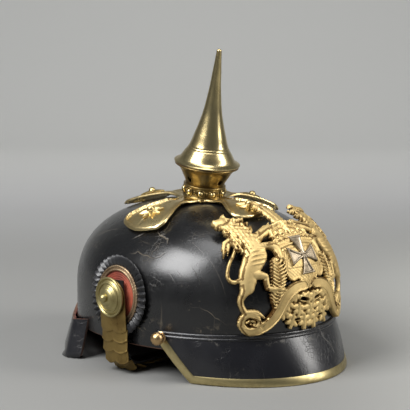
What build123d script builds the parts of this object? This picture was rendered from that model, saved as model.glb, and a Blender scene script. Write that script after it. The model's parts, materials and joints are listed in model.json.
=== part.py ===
from build123d import *
import os
from functools import lru_cache
from math import asin, atan2, cos, degrees, hypot, pi, radians, sin, sqrt

os.makedirs("parts", exist_ok=True)

# A spiked leather parade helmet. Millimetres, +Z up, front of the helmet along -Y, wearer's
# right along -X. The helmet stands on its two visors on the plane Z = 0.

# Skull: a tall oval leather shell
skull_half_length = 120.0
skull_half_width = 97.0
skull_wall = 2.5
rim_height = 24.0
dome_start = 55.0
crown_rise = 74.5
crown_fullness_share = 0.645
seam_turn = 45
leather_fit = 0.1
metal_fit = 0.1
cut_overrun = 5.0
crown_top = dome_start + crown_rise

# Front visor: a square-cut skirt sewn on through a raised welt
seam_height = 34.5
visor_wall = 2.0
welt_height = 5.0
welt_wall = 1.4
front_flare = 15.6
front_tuck = 8.6
front_shift = 20.0
front_bulge = 1.2
front_end_setback = 43.8
front_corner_setback = 72.6
lining_wall = 0.6
trim_wall = 0.8
trim_width = 6.0
trim_fit = 0.05

# Rear visor: it stands a little off the skull at its two loose ends
rear_top = 37.0
rear_standoff = 4.0
rear_flare_side = 10.0
rear_flare_back = 14.0
rear_shift = 4.0
rear_end_top = 42.0
rear_end_foot = 43.0
rear_corner_radius = 7.0

# Rear spine: a strip from the cross base down to the rear visor's edge
spine_width = 12.0
spine_wall = 1.2
spine_lift = 0.3
spine_stud_height = 62.0
spine_stud_lift = 0.6
spine_steps = 6
spine_top_share = 0.57

# Sweatband and silk crown liner
band_standoff = 4.5
band_wall = 1.2
band_top = 62.0
hem_height = 1.5
liner_wall = 0.8
liner_gap = 0.3

# Cross base under the spike
arm_reach = 79.0
base_top = 2.8
base_sheet = 1.0
base_seat = 0.3
base_rim = 1.2
arm_along_shares = (0.20, 0.30, 0.42, 0.58, 0.74, 0.85, 0.92)
arm_width_shares = (0.145, 0.125, 0.135, 0.195, 0.265, 0.295, 0.265)
neck_notch_share = 0.17
tip_round_share = 0.58
star_reach = 60.0
star_radius = 9.0
star_waist_share = 0.62
star_points = 8
star_height = 1.4
star_pearl = 3.4
stud_radius = 1.5
stud_hole_fit = 0.1
nut_radius = 4.0
nut_height = 2.4
nut_seat = 0.8
post_nut_seat = 1.3

# Spike assembly, turned about one axis that leans to the front
spike_lean = 8.8
foot_setback = 0.5
ring_height = 11.0
ring_radius = 16.8
ring_inner_radius = 15.7
ring_bead = 0.9
pearl_count = 10
pearl_radius = 2.5
pearl_seat = 15.9
neck_wall = 1.0
neck_foot_radius = 15.6
neck_top = 28.0
neck_top_radius = 26.8
neck_lip = 2.5
neck_radius_shares = (0.600, 0.655, 0.725, 0.840)
neck_height_shares = (0.43, 0.54, 0.66, 0.85)
vent_radius = 2.2
vent_height = 16.0
vent_count = 2
washer_wall = 0.5
spike_seat_gap = 0.1
spike_tip = 125.3
spike_flange_radius = 27.6
spike_wall = 1.0
spike_tip_radius = 2.1
spike_hollow_share = 0.80
spike_radius_shares = (0.860, 0.745, 0.612, 0.475, 0.362, 0.272, 0.214, 0.167, 0.134, 0.098)
spike_rise_shares = (0.033, 0.083, 0.143, 0.256, 0.365, 0.475, 0.584, 0.689, 0.797, 0.905)
flange_lip = 1.0
screw_radius = 4.0
screw_fit = 0.06
screw_pitch = 1.5
screw_length = 10.5
bush_radius = 7.0
bush_foot = 17.5
bush_web = 1.2
bush_drop = 0.6

# Front plate: two lions, shield, crown, leaves and a bare scroll
plate_half_width = 60.0
plate_foot = 40.0
plate_height = 87.0
plate_seat = 0.4
plate_rise = 6.5
relief_mid = 3.6
relief_high = 5.0
cross_height = 96.0
cross_span = 27.0
cross_seat = 0.1
cross_wall = 1.5
cross_throat_share = 0.17
cross_end_share = 0.5
cross_curve_share = 0.22
lug_offset = 30.0
lug_height = 76.0

lion_out_shares = (
    0.63, 0.56, 0.48, 0.42, 0.375, 0.41, 0.46, 0.42, 0.32, 0.27, 0.3, 0.43, 0.505, 0.55, 0.545,
    0.52, 0.55, 0.575, 0.55, 0.625, 0.66, 0.71, 0.715, 0.8, 0.85, 0.86, 0.8, 0.72, 0.82, 0.89,
    0.91, 0.89, 0.84, 0.84, 0.84, 0.8, 0.765, 0.74, 0.715, 0.7, 0.675, 0.66)
lion_up_shares = (
    0.935, 0.955, 0.965, 0.95, 0.92, 0.885, 0.86, 0.83, 0.82, 0.785, 0.76, 0.745, 0.68, 0.63,
    0.575, 0.53, 0.49, 0.455, 0.425, 0.43, 0.475, 0.495, 0.44, 0.38, 0.345, 0.28, 0.23, 0.195,
    0.165, 0.22, 0.305, 0.37, 0.425, 0.48, 0.545, 0.625, 0.685, 0.745, 0.8, 0.84, 0.875, 0.9)
tail_outer_out_shares = (0.83, 0.945, 0.97, 0.92, 0.82, 0.735)
tail_outer_up_shares = (0.495, 0.485, 0.53, 0.61, 0.69, 0.74)
tail_inner_out_shares = (0.745, 0.85, 0.905, 0.905, 0.83)
tail_inner_up_shares = (0.7, 0.635, 0.565, 0.525, 0.53)
tuft_out_shares = (0.72, 0.77, 0.835, 0.875, 0.87, 0.815, 0.745)
tuft_up_shares = (0.8, 0.815, 0.77, 0.715, 0.69, 0.73, 0.75)
column_out_shares = (0.325, 0.43, 0.5, 0.515, 0.565, 0.61, 0.6, 0.51, 0.42, 0.32, 0.29)
column_up_shares = (0.675, 0.64, 0.57, 0.51, 0.44, 0.37, 0.3, 0.26, 0.32, 0.45, 0.58)
scroll_out_shares = (
    0.965, 0.93, 0.86, 0.78, 0.69, 0.62, 0.53, 0.405, 0.36, 0.435, 0.545, 0.69, 0.82, 0.92)
scroll_up_shares = (
    0.1, 0.16, 0.18, 0.16, 0.12, 0.165, 0.25, 0.335, 0.295, 0.185, 0.08, 0.02, 0.01, 0.03)
leaves_out_shares = (0, 0.115, 0.275, 0.4, 0.465, 0.45, 0.37, 0.28, 0.14, 0)
leaves_up_shares = (0.03, 0.025, 0.055, 0.11, 0.2, 0.29, 0.37, 0.395, 0.395, 0.375)
opening_out_shares = (0.1, 0.17, 0.25, 0.17)
opening_up_shares = (0.305, 0.335, 0.315, 0.28)
shield_out_shares = (0, 0.1, 0.17, 0.25, 0.32, 0.34, 0.3, 0.27, 0.33)
shield_up_shares = (0.365, 0.42, 0.465, 0.45, 0.49, 0.565, 0.665, 0.74, 0.79)
crown_out_shares = (0, 0.05, 0.06, 0.045, 0.15, 0.26, 0.33, 0.31)
crown_up_shares = (0.912, 0.908, 0.893, 0.878, 0.87, 0.845, 0.8, 0.75)

# Cockades and chin scale bosses
cockade_setback = 4.0
cockade_height = 62.0
cockade_radius = 32.0
cockade_gap = 1.0
cockade_wall = 1.4
cockade_dish = 3.0
cockade_tilt = 4.5
pleat_inner_radius = 24.8
pleat_count = 48
pleat_depth = 0.7
cord_inner_radius = 19.8
cord_wire = 0.9
cockade_ring_gap = 0.1
post_radius = 2.5
post_fit = 0.1
boss_radius = 16.3
boss_rise = 6.0
boss_radius_shares = (1, 0.8, 0.62, 0.4, 0)
boss_rise_shares = (0.25, 0.45, 0.5, 0.85, 1)
knob_radius = 3.2
knob_rise = 2.0

# Chin strap with its brass scales
strap_swing_lean = 4.0
strap_wall = 1.4
strap_width = 24.0
strap_end_width = 18.0
strap_lift = 0.6
strap_bend_radius = 15.0
strap_floor_gap = 6.4
strap_taper_start = 100.0
strap_taper_end = 54.0
scale_width = 31.0
scale_width_end = 23.0
scale_pitch = 8.6
scale_overlap = 3.0
scale_sheet = 0.8
scale_gap = 0.2
scale_crown = 1.2
scale_count = 8
scale_lobe = 2.6
scale_notch = 2.1
first_scale_end = 29.0
first_scale_top = 13.5

# Buckle in the middle of the strap
buckle_reach = 8.0
buckle_wire = 1.0
buckle_clear = 2.0
loop_fit = 0.15
prong_radius = 0.8
prong_slot_width = 2.6
prong_hub_width = 3.0
prong_hub_wall = 0.9
tongue_reach = 36.0
keeper_place = 22.0
keeper_width = 6.0
keeper_wall = 0.8

# Ball studs at the ends of the front trim
button_radius = 5.4
button_collar_radius = 4.6
button_collar_wall = 1.6
button_drop = 1.0
button_lift = 0.4

slab_half = skull_half_width + skull_half_length
front_reach = skull_half_length + front_flare + visor_wall + trim_wall
rear_reach = skull_half_length + rear_flare_back + visor_wall + spine_lift + spine_wall
frame_shift = (front_reach - rear_reach) / 2


# Crown solids and places on the crown
@lru_cache(maxsize=None)
def crown_solid(grow, floor):
    rise = crown_rise + grow
    drop = (dome_start - floor) / rise
    side = Polyline((0, 1), (0, -drop), (1, -drop), (1, 0))
    arch = Bezier((1, 0), (1, crown_fullness_share), (crown_fullness_share, 1), (0, 1))
    unit = Rot(0, 0, seam_turn) * revolve(Plane.XZ * make_face(side + arch), Axis.Z)
    size = (skull_half_width + grow, skull_half_length + grow, rise)
    return Pos(0, 0, dome_start) * scale(unit, by=size)


def crown_layer(inner, outer, floor):
    foot = min(floor, rim_height)
    layer = crown_solid(outer, foot) - crown_solid(inner, foot - cut_overrun)
    return layer & above(floor) if floor > foot else layer


def above(height):
    size = 2 * slab_half
    return Pos(0, 0, height) * Box(size, size, size, align=(Align.CENTER, Align.CENTER, Align.MIN))


def arch_point(share):
    rest = 1 - share
    out = rest**3 + 3 * rest**2 * share + 3 * rest * share**2 * crown_fullness_share
    up = 3 * rest**2 * share * crown_fullness_share + 3 * rest * share**2 + share**3
    return out, up


def crown_height(x, y, grow):
    out = hypot(x / (skull_half_width + grow), y / (skull_half_length + grow))
    low, high = 0.0, 1.0
    for _ in range(50):
        middle = (low + high) / 2
        if arch_point(middle)[0] > out:
            low = middle
        else:
            high = middle
    return dome_start + (crown_rise + grow) * arch_point(low)[1]


def crown_front(x, z, grow):
    low, high = 0.0, skull_half_length + grow
    for _ in range(50):
        middle = (low + high) / 2
        if crown_height(x, -middle, grow) > z:
            low = middle
        else:
            high = middle
    return -low


def crown_plane(x, y, grow):
    step = skull_wall
    slope_x = (crown_height(x + step, y, grow) - crown_height(x - step, y, grow)) / (2 * step)
    slope_y = (crown_height(x, y + step, grow) - crown_height(x, y - step, grow)) / (2 * step)
    normal = Vector(-slope_x, -slope_y, 1)
    along = Vector(x, y, x * slope_x + y * slope_y)
    return Plane(origin=(x, y, crown_height(x, y, grow)), x_dir=along, z_dir=normal)


def rod(radius, low, high):
    return Pos(0, 0, low) * Cylinder(radius, high - low, align=(Align.CENTER, Align.CENTER, Align.MIN))


def turned(*edges):
    outline = edges[0]
    for edge in edges[1:]:
        outline = outline + edge
    return revolve(Plane.XZ * make_face(outline), Axis.Z)


def side_slab(face):
    return extrude(Plane.YZ * face, amount=slab_half, both=True)


def side_face(points):
    return make_face(Polyline(*points, close=True))


def mirrored(shape):
    return mirror(shape, about=Plane.YZ)


# Fastener places
def star_planes():
    planes = []
    for x, y in ((0, -star_reach), (star_reach, 0), (0, star_reach), (-star_reach, 0)):
        planes.append(crown_plane(x, y, 0))
    return planes


def lug_planes():
    planes = []
    for x in (-lug_offset, lug_offset):
        planes.append(crown_plane(x, crown_front(x, lug_height, 0), 0))
    return planes


def spine_plane():
    back = -crown_front(0, spine_stud_height, 0)
    return crown_plane(0, back, 0)


def post_hole(radius):
    hole = Rot(0, 90, 0) * rod(radius, -slab_half, slab_half)
    return Pos(0, -cockade_setback, cockade_height) * hole


# Leather shell
def skull():
    body = crown_layer(-skull_wall, 0, rim_height)
    hole = rod(stud_radius + stud_hole_fit, -skull_wall - cut_overrun, cut_overrun)
    for plane in star_planes() + lug_planes() + [spine_plane()]:
        body -= plane.location * hole
    body -= spike_frame() * rod(bush_radius, -cut_overrun - base_top, cut_overrun)
    return body - post_hole(post_radius + post_fit)


def skirt(rings, grow):
    faces = []
    for half_width, half_length, centre, height in rings:
        faces.append(Pos(0, centre, height) * Ellipse(half_width + grow, half_length + grow))
    return loft(faces)


def three_rings(top, foot, bulge):
    middle = [(a + b) / 2 for a, b in zip(top, foot)]
    middle[0] += bulge
    middle[1] += bulge
    return top, tuple(middle), foot


def front_rings():
    top = (skull_half_width + leather_fit, skull_half_length + leather_fit, 0, seam_height)
    foot_length = skull_half_length + front_flare - front_shift
    foot = (skull_half_width - front_tuck, foot_length, -front_shift, 0)
    return three_rings(top, foot, front_bulge)


def rear_rings():
    top = (skull_half_width + rear_standoff, skull_half_length + leather_fit, 0, rear_top)
    foot_length = skull_half_length + rear_flare_back - rear_shift
    foot = (skull_half_width + rear_flare_side, foot_length, rear_shift, 0)
    return three_rings(top, foot, 0)


def front_side_face(grow):
    top = seam_height + welt_height + trim_width
    run = (front_corner_setback - front_end_setback) / seam_height
    corner = -front_corner_setback
    points = (
        (corner + run * top, top), (corner, 0), (-slab_half, 0), (-slab_half, top))
    face = Pos(0, trim_wall) * side_face(points)
    return offset(face, amount=grow, kind=Kind.INTERSECTION)


def below(height):
    size = 2 * slab_half
    return Pos(0, 0, height) * Box(size, size, size, align=(Align.CENTER, Align.CENTER, Align.MAX))


def front_visor():
    shell = skirt(front_rings(), visor_wall) - skirt(front_rings(), 0)
    shell &= side_slab(front_side_face(0))
    outer = Ellipse(skull_half_width + leather_fit + welt_wall, skull_half_length + leather_fit + welt_wall)
    inner = Ellipse(skull_half_width + leather_fit, skull_half_length + leather_fit)
    welt = Pos(0, 0, seam_height) * extrude(outer - inner, amount=welt_height)
    front = Pos(0, -front_end_setback, 0) * Box(
        2 * slab_half, slab_half, 2 * slab_half, align=(Align.CENTER, Align.MAX, Align.CENTER))
    return shell + (welt & front)


def front_visor_lining():
    shell = skirt(front_rings(), -leather_fit) - skirt(front_rings(), -leather_fit - lining_wall)
    shell &= side_slab(front_side_face(0))
    return shell - crown_solid(leather_fit, rim_height)


def front_visor_trim():
    reach_out = visor_wall + trim_wall
    reach_in = leather_fit + lining_wall + trim_wall
    shell = skirt(front_rings(), reach_out) - skirt(front_rings(), -reach_in)
    edge = front_side_face(trim_wall) - front_side_face(-trim_width)
    shell &= side_slab(edge)
    core = skirt(front_rings(), reach_out - trim_wall + trim_fit)
    core -= skirt(front_rings(), trim_wall - reach_in - trim_fit)
    shell -= core & side_slab(front_side_face(trim_fit))
    shell &= below(seam_height - metal_fit)
    shell -= crown_solid(metal_fit, rim_height)
    return largest(shell)


def largest(shape):
    return max(shape.solids(), key=lambda solid: solid.volume)


def rear_side_slab():
    points = ((rear_end_top, rear_top), (rear_end_foot, 0), (slab_half, 0), (slab_half, rear_top))
    face = side_face(points)
    corner = face.vertices().sort_by(Axis.X)[0:2].sort_by(Axis.Y)[0]
    return side_slab(fillet(corner, rear_corner_radius))


def rear_visor():
    shell = skirt(rear_rings(), visor_wall) - skirt(rear_rings(), 0)
    return shell & rear_side_slab()


def rear_visor_lining():
    shell = skirt(rear_rings(), -leather_fit) - skirt(rear_rings(), -leather_fit - lining_wall)
    shell &= rear_side_slab()
    return largest(shell - crown_solid(leather_fit, rim_height))


def spine_arch(grow):
    points = []
    for step in range(spine_steps + 1):
        out, up = arch_point(spine_top_share * (1 - step / spine_steps))
        points.append((out * (skull_half_length + grow), dome_start + up * (crown_rise + grow)))
    return points


def rear_spine():
    inner = spine_arch(spine_lift)
    outer = spine_arch(spine_lift + spine_wall)
    ledge = rear_top + spine_lift
    over_visor = skull_half_length + leather_fit + visor_wall + spine_lift
    visor_foot = skull_half_length + rear_flare_back + visor_wall + spine_lift
    visor_side = Polyline(
        inner[-1],
        (inner[-1][0], ledge),
        (over_visor, ledge),
        (visor_foot, 0),
        (visor_foot + spine_wall, 0),
        (over_visor + spine_wall, ledge + spine_wall),
        (outer[-1][0], ledge + spine_wall),
        outer[-1])
    profile = make_face(Spline(*inner) + visor_side + Spline(*outer) + Line(inner[0], outer[0]))
    plate = extrude(Plane.YZ * profile, amount=spine_width / 2, both=True)
    return plate - spine_plane().location * rod(stud_radius + stud_hole_fit, -cut_overrun, cut_overrun)


def stud_nut():
    nut = Pos(0, 0, -skull_wall - nut_seat - nut_height) * extrude(
        RegularPolygon(nut_radius, 6), amount=nut_height)
    return nut - rod(stud_radius + stud_hole_fit, -slab_half, slab_half)


def spine_stud():
    low = spine_lift + spine_wall + spine_stud_lift
    head = rod(2 * stud_radius, low, low + spine_wall)
    shank = rod(stud_radius, -skull_wall - nut_seat - nut_height, low)
    return spine_plane().location * (head + shank)


# Sweatband and liner
def sweatband():
    outer = -skull_wall - band_standoff
    inner = outer - band_wall
    band = crown_layer(inner, outer, rim_height) & below(band_top)
    hem = crown_layer(inner, -skull_wall - leather_fit, rim_height) & below(rim_height + hem_height)
    return band + hem


def crown_liner():
    outer = -skull_wall - band_standoff
    return crown_layer(outer - liner_wall, outer, band_top + liner_gap)


# Cross base and its star studs
def cross_outline(grow):
    notch = neck_notch_share * arm_reach + grow / sqrt(2)
    left = [(notch, notch)]
    for along, across in zip(arm_along_shares, arm_width_shares):
        left.append((along * arm_reach, across * arm_reach + grow))
    shoulder_x, shoulder_y = left[-1]
    tip = arm_reach + grow
    ogive = ((shoulder_x + tip) / 2, shoulder_y * tip_round_share)
    outline = []
    for turn in range(4):
        side = Spline(*left) + ThreePointArc(left[-1], ogive, (tip, 0))
        outline += (Rot(0, 0, 90 * turn) * side).edges()
        outline += (Rot(0, 0, 90 * turn) * mirror(side, about=Plane.XZ)).edges()
    return make_face(outline)


def spike_base():
    well = spike_frame() * rod(bush_radius, -cut_overrun - base_top, cut_overrun)
    outline = extrude(cross_outline(0), amount=crown_top + slab_half)
    sheet = (crown_layer(base_seat, base_top, rim_height) - well) & outline
    inside = extrude(cross_outline(-base_rim), amount=crown_top + slab_half)
    hollow = (crown_layer(-skull_wall, base_top - base_sheet, rim_height) - well) & inside
    body = sheet - hollow
    hole = rod(stud_radius + stud_hole_fit, -cut_overrun, 2 * cut_overrun)
    return body - [plane.location * hole for plane in star_planes()]


def star_head():
    base = base_top + metal_fit
    points = []
    for index in range(2 * star_points):
        radius = star_radius if index % 2 == 0 else star_radius * star_waist_share
        angle = pi * index / star_points
        points.append((radius * cos(angle), radius * sin(angle)))
    star = Pos(0, 0, base) * extrude(make_face(Polyline(*points, close=True)), amount=star_height)
    pearl = Pos(0, 0, base + star_height) * Sphere(star_pearl)
    pearl &= Pos(0, 0, base) * rod(star_radius, 0, star_radius)
    shank = rod(stud_radius, -skull_wall - nut_seat - nut_height, base + star_height)
    return star + pearl + shank


def star_studs():
    seated = []
    cover = crown_solid(base_top + metal_fit, rim_height)
    bolt = rod(stud_radius, -skull_wall - nut_seat - nut_height, star_height)
    for plane in star_planes():
        head = plane.location * star_head()
        seated.append(head - cover + plane.location * bolt)
    return Compound(children=[largest(stud) for stud in seated])


def stud_nuts(planes):
    return Compound(children=[(plane.location * stud_nut()).solid() for plane in planes])


# Spike, neck and pearl ring
def spike_frame():
    return Pos(0, -foot_setback, crown_top + base_top) * Rot(spike_lean, 0, 0)


def seated_on_base(shape):
    return spike_frame() * shape - crown_solid(base_top + metal_fit, rim_height)


def pearl_ring():
    band = rod(ring_radius, -cut_overrun, ring_height)
    band += Pos(0, 0, ring_height - ring_bead) * Torus(ring_radius, ring_bead)
    pearls = []
    for index in range(pearl_count):
        place = Rot(0, 0, 360 * index / pearl_count) * Pos(pearl_seat, 0, ring_height / 2)
        pearls.append(place * Sphere(pearl_radius))
    band += pearls
    band -= rod(ring_inner_radius, -slab_half, slab_half)
    return largest(seated_on_base(band))


def neck_points(inset):
    points = [(neck_foot_radius - inset, ring_height)]
    for radius, height in zip(neck_radius_shares, neck_height_shares):
        points.append((radius * neck_top_radius - inset, height * neck_top))
    points.append((neck_top_radius - inset, neck_top))
    return points


def spike_neck():
    outer = neck_points(0)
    inner = neck_points(neck_wall)
    foot = -cut_overrun
    body = turned(
        Spline(*outer),
        Polyline(outer[-1], inner[-1]),
        Spline(*inner),
        Polyline(inner[0], (inner[0][0], foot), (outer[0][0], foot), outer[0]))
    body += rod(neck_top_radius - neck_wall, neck_top - neck_wall, neck_top) - rod(
        neck_top_radius - neck_lip, neck_top - neck_wall, neck_top)
    vent = Pos(0, 0, vent_height) * Rot(0, 90, 0) * rod(vent_radius, neck_wall, neck_top_radius)
    body -= [Rot(0, 0, 360 * index / vent_count) * vent for index in range(vent_count)]
    return largest(seated_on_base(body))


def neck_bush():
    outer = neck_points(neck_wall + metal_fit)
    web_radius, web_height = outer[3]
    body = rod(bush_radius, bush_foot, neck_top - bush_drop)
    body += rod(web_radius, web_height, web_height + bush_web)
    return spike_frame() * (body - rod(screw_radius + screw_fit, -slab_half, slab_half))


def washer():
    low = neck_top + spike_seat_gap
    ring = rod(neck_top_radius, low, low + washer_wall)
    return spike_frame() * (ring - rod(neck_top_radius - neck_lip, -slab_half, slab_half))


def spike_floor():
    return neck_top + washer_wall + 2 * spike_seat_gap


def spike_points(inset):
    rise = spike_tip - spike_floor()
    points = []
    for radius, height in zip(spike_radius_shares, spike_rise_shares):
        points.append((radius * spike_flange_radius - inset, spike_floor() + height * rise))
    return points


def spike():
    low = spike_floor()
    lip = low + flange_lip
    points = spike_points(0)
    outer = Spline((spike_flange_radius, lip), *points, (spike_tip_radius, spike_tip - spike_tip_radius))
    nose = ThreePointArc(
        (spike_tip_radius, spike_tip - spike_tip_radius),
        (spike_tip_radius * cos(pi / 4), spike_tip - spike_tip_radius * (1 - sin(pi / 4))),
        (0, spike_tip))
    foot = Polyline(
        (0, spike_tip), (0, low), (spike_flange_radius - flange_lip, low), (spike_flange_radius, lip))
    body = turned(outer, nose, foot)
    hollow_count = int(len(points) * spike_hollow_share)
    hollow = spike_points(spike_wall)[:hollow_count]
    mouth = spike_flange_radius - flange_lip - spike_wall
    cavity = turned(
        Spline((mouth, lip), *hollow),
        Polyline(hollow[-1], (0, hollow[-1][1]), (0, low), (mouth, low), (mouth, lip)))
    return spike_frame() * (body - cavity)


def spike_stud():
    low = spike_floor()
    mouth = spike_flange_radius - flange_lip - spike_wall - metal_fit
    body = rod(mouth, low, low + flange_lip) + rod(screw_radius, low - screw_length, low + flange_lip)
    return spike_frame() * body


# Front plate
def plate_points(outs, ups):
    points = []
    for out, up in zip(outs, ups):
        points.append((-out * plate_half_width, plate_foot + up * plate_height))
    return points


def plate_prism(face):
    return extrude(Plane.XZ * face, amount=slab_half)


def closed_curve(outs, ups):
    return make_face(Spline(*plate_points(outs, ups), periodic=True))


def tail_face():
    outer = plate_points(tail_outer_out_shares, tail_outer_up_shares)
    inner = plate_points(tail_inner_out_shares, tail_inner_up_shares)
    edge = Spline(*outer) + Spline(*inner)
    edge += Line(outer[-1], inner[0]) + Line(inner[-1], outer[0])
    return make_face(edge)


def half_face(outs, ups):
    points = plate_points(outs, ups)
    return make_face(Spline(*points) + Line(points[-1], points[0]))


def shield_face():
    points = plate_points(shield_out_shares, shield_up_shares)
    edge = Spline(*points[0:3]) + Spline(*points[2:])
    edge += Polyline(points[-1], (0, points[-1][1]), points[0])
    return make_face(edge)


def plate_layer(inner, outer):
    return Pos(0, 0, plate_rise) * crown_layer(inner, outer, rim_height - plate_rise)


def crest_face():
    points = plate_points(crown_out_shares, crown_up_shares)
    edge = Spline(*points) + Polyline(points[-1], (0, points[-1][1]), points[0])
    return make_face(edge)


def both_sides(face):
    return face + mirror(face, about=Plane.YZ)


def high_figures():
    lion = closed_curve(lion_out_shares, lion_up_shares)
    return both_sides(lion + shield_face() + crest_face())


def low_figures():
    opening = closed_curve(opening_out_shares, opening_up_shares)
    figures = half_face(leaves_out_shares, leaves_up_shares) - opening
    figures += tail_face()
    figures += closed_curve(tuft_out_shares, tuft_up_shares)
    figures += closed_curve(column_out_shares, column_up_shares)
    figures += closed_curve(scroll_out_shares, scroll_up_shares)
    return both_sides(figures)


def front_plate():
    high = high_figures()
    sheet = plate_prism(high + low_figures()) & plate_layer(plate_seat, relief_high)
    lowered = plate_prism(low_figures() - high)
    sheet -= lowered & plate_layer(relief_mid, relief_high + cut_overrun)
    base = extrude(cross_outline(metal_fit), amount=crown_top + slab_half)
    return sheet - (base & crown_layer(-metal_fit, base_top + metal_fit, rim_height))


def plate_lugs():
    low = -skull_wall - nut_seat - nut_height
    seat = Pos(0, 0, plate_rise) * crown_solid(plate_seat - metal_fit, rim_height - plate_rise)
    lugs = []
    for plane in lug_planes():
        lugs.append((plane.location * rod(stud_radius, low, plate_rise) & seat).solid())
    return Compound(children=lugs)


def reserve_cross():
    half = cross_span / 2
    throat = half * cross_throat_share
    end = half * cross_end_share
    curve = half * cross_curve_share
    arms = Sketch()
    for turn in range(4):
        edge = Polyline((half, -end), (half, end))
        edge += ThreePointArc((half, end), (half / 2, curve), (throat, throat))
        edge += Polyline((throat, throat), (0, 0), (throat, -throat))
        edge += ThreePointArc((throat, -throat), (half / 2, -curve), (half, -end))
        arms += Rot(0, 0, 90 * turn) * make_face(edge)
    low = relief_high + cross_seat
    return plate_prism(Pos(0, cross_height) * arms) & plate_layer(low, low + cross_wall)


# Cockades
def cockade_frame():
    place = Pos(-skull_half_width - cockade_gap, -cockade_setback, cockade_height)
    return place * Rot(0, -90, 0) * Rot(0, cockade_tilt, 0)


def dished_ring(inner, outer, wall):
    slope = cockade_dish / cockade_radius
    points = (
        (inner, -inner * slope), (outer, -outer * slope),
        (outer, wall - outer * slope), (inner, wall - inner * slope))
    return turned(Polyline(*points, close=True))


def cockade_rim():
    ring = dished_ring(pleat_inner_radius, cockade_radius, cockade_wall)
    notch = Pos(cockade_radius, 0, 0) * rod(pleat_depth, -cut_overrun, cut_overrun)
    notches = [Rot(0, 0, 360 * index / pleat_count) * notch for index in range(pleat_count)]
    return cockade_frame() * (ring - notches)


def cockade_cords():
    slope = cockade_dish / cockade_radius
    outer = pleat_inner_radius - cockade_ring_gap
    ring = dished_ring(cord_inner_radius, outer, cockade_wall)
    for radius in (cord_inner_radius + cord_wire, outer - cord_wire):
        ring += Pos(0, 0, cockade_wall - radius * slope) * Torus(radius, cord_wire)
    return cockade_frame() * ring


def cockade_field():
    disc = dished_ring(0, cord_inner_radius - cockade_ring_gap, cockade_wall)
    hole = post_hole(post_radius + post_fit)
    return cockade_frame() * disc - hole


def post_frame():
    return Pos(-skull_half_width, -cockade_setback, cockade_height) * Rot(0, -90, 0)


def strap_level():
    return cockade_gap + cockade_wall + strap_lift


def first_lift():
    slope = (scale_sheet + scale_gap) / scale_pitch
    return scale_sheet + 2 * scale_gap + scale_overlap * slope


def plate_level():
    return strap_level() + strap_wall + first_lift()


def boss_level():
    return plate_level() + scale_sheet + scale_crown + scale_gap


def chin_post():
    low = -skull_wall - post_nut_seat - nut_height
    return post_frame() * rod(post_radius, low, boss_level() + boss_rise / 2)


def post_nut():
    low = -skull_wall - post_nut_seat - nut_height
    nut = Pos(0, 0, low) * extrude(RegularPolygon(nut_radius + post_radius / 2, 6), amount=nut_height)
    return (post_frame() * (nut - rod(post_radius + post_fit, -slab_half, slab_half))).solid()


def chin_boss():
    low = boss_level()
    points = []
    for out, up in zip(boss_radius_shares, boss_rise_shares):
        points.append((out * boss_radius, low + up * boss_rise))
    rim = low + boss_rise_shares[0] * boss_rise
    body = turned(
        Polyline((0, low), (boss_radius, low), points[0]),
        Spline(*points[0:3]),
        Spline(*points[2:]),
        Line((0, low + boss_rise), (0, low)))
    body += Pos(0, 0, low + boss_rise) * Sphere(knob_radius)
    body += Pos(0, 0, rim) * Torus(boss_radius - scale_sheet, scale_sheet)
    body -= rod(post_radius + post_fit, -slab_half, low + boss_rise / 2 + post_fit)
    body -= rod(slab_half, -slab_half, low)
    return post_frame() * body


# Chin strap: a planar path in a frame through the two posts
def strap_plane():
    lean = radians(strap_swing_lean)
    start = -skull_half_width - strap_level() - strap_wall
    return Plane(
        origin=(start, -cockade_setback, cockade_height),
        x_dir=(1, 0, 0), z_dir=(0, -cos(lean), sin(lean)))


def strap_drop(step):
    return (cockade_height - strap_floor_gap) / cos(radians(strap_swing_lean)) - step


def strap_straight():
    return strap_drop(0) - strap_bend_radius


def strap_place(length, step):
    straight = strap_straight()
    radius = strap_bend_radius - step
    turn = radius * pi / 2
    if length <= straight:
        return (0, -length), 0
    if length <= straight + turn:
        angle = (length - straight) / radius
        x = radius * (1 - cos(angle))
        y = -straight - radius * sin(angle)
        return (x, y), degrees(angle)
    return (radius + length - straight - turn, -strap_drop(step)), 90


def scale_frame(length, step, lift):
    (x, y), angle = strap_place(length, step)
    outward = Rot(0, 0, angle) * Rot(0, -90, 0) * Rot(0, 0, 180)
    return strap_plane().location * Pos(x, y, 0) * outward * Pos(0, 0, lift)


def scale_plate(width, top, bottom):
    half = width / 2
    arch = ThreePointArc((-half, 0), (0, scale_crown), (half, 0))
    cap = ThreePointArc((half, scale_sheet), (0, scale_crown + scale_sheet), (-half, scale_sheet))
    sides = Line((half, 0), (half, scale_sheet)) + Line((-half, scale_sheet), (-half, 0))
    section = make_face(arch + cap + sides)
    bar = Pos(0, top, 0) * extrude(Plane.XZ * section, amount=top - bottom)
    shoulder = bottom - scale_lobe
    notch = bottom - scale_notch
    outline = Polyline((-half, shoulder), (-half, top), (half, top), (half, shoulder))
    outline += ThreePointArc((half, shoulder), (half / 2, bottom), (0, notch))
    outline += ThreePointArc((0, notch), (-half / 2, bottom), (-half, shoulder))
    return bar & extrude(make_face(outline), amount=scale_crown + 2 * scale_sheet)


def chin_scale(index, step):
    length = scale_pitch + scale_overlap
    share = index / max(scale_count - 1, 1)
    width = scale_width + (scale_width_end - scale_width) * share
    start = first_scale_end - scale_overlap + index * scale_pitch
    tilt = degrees(asin((scale_sheet + scale_gap) / scale_pitch))
    return scale_frame(start, step, scale_gap) * Rot(tilt, 0, 0) * scale_plate(width, 0, length)


def first_scale(step):
    plate = scale_plate(scale_width, -first_scale_top, first_scale_end)
    plate = scale_frame(0, step, first_lift()) * plate
    return plate - post_hole(post_radius + post_fit)


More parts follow.
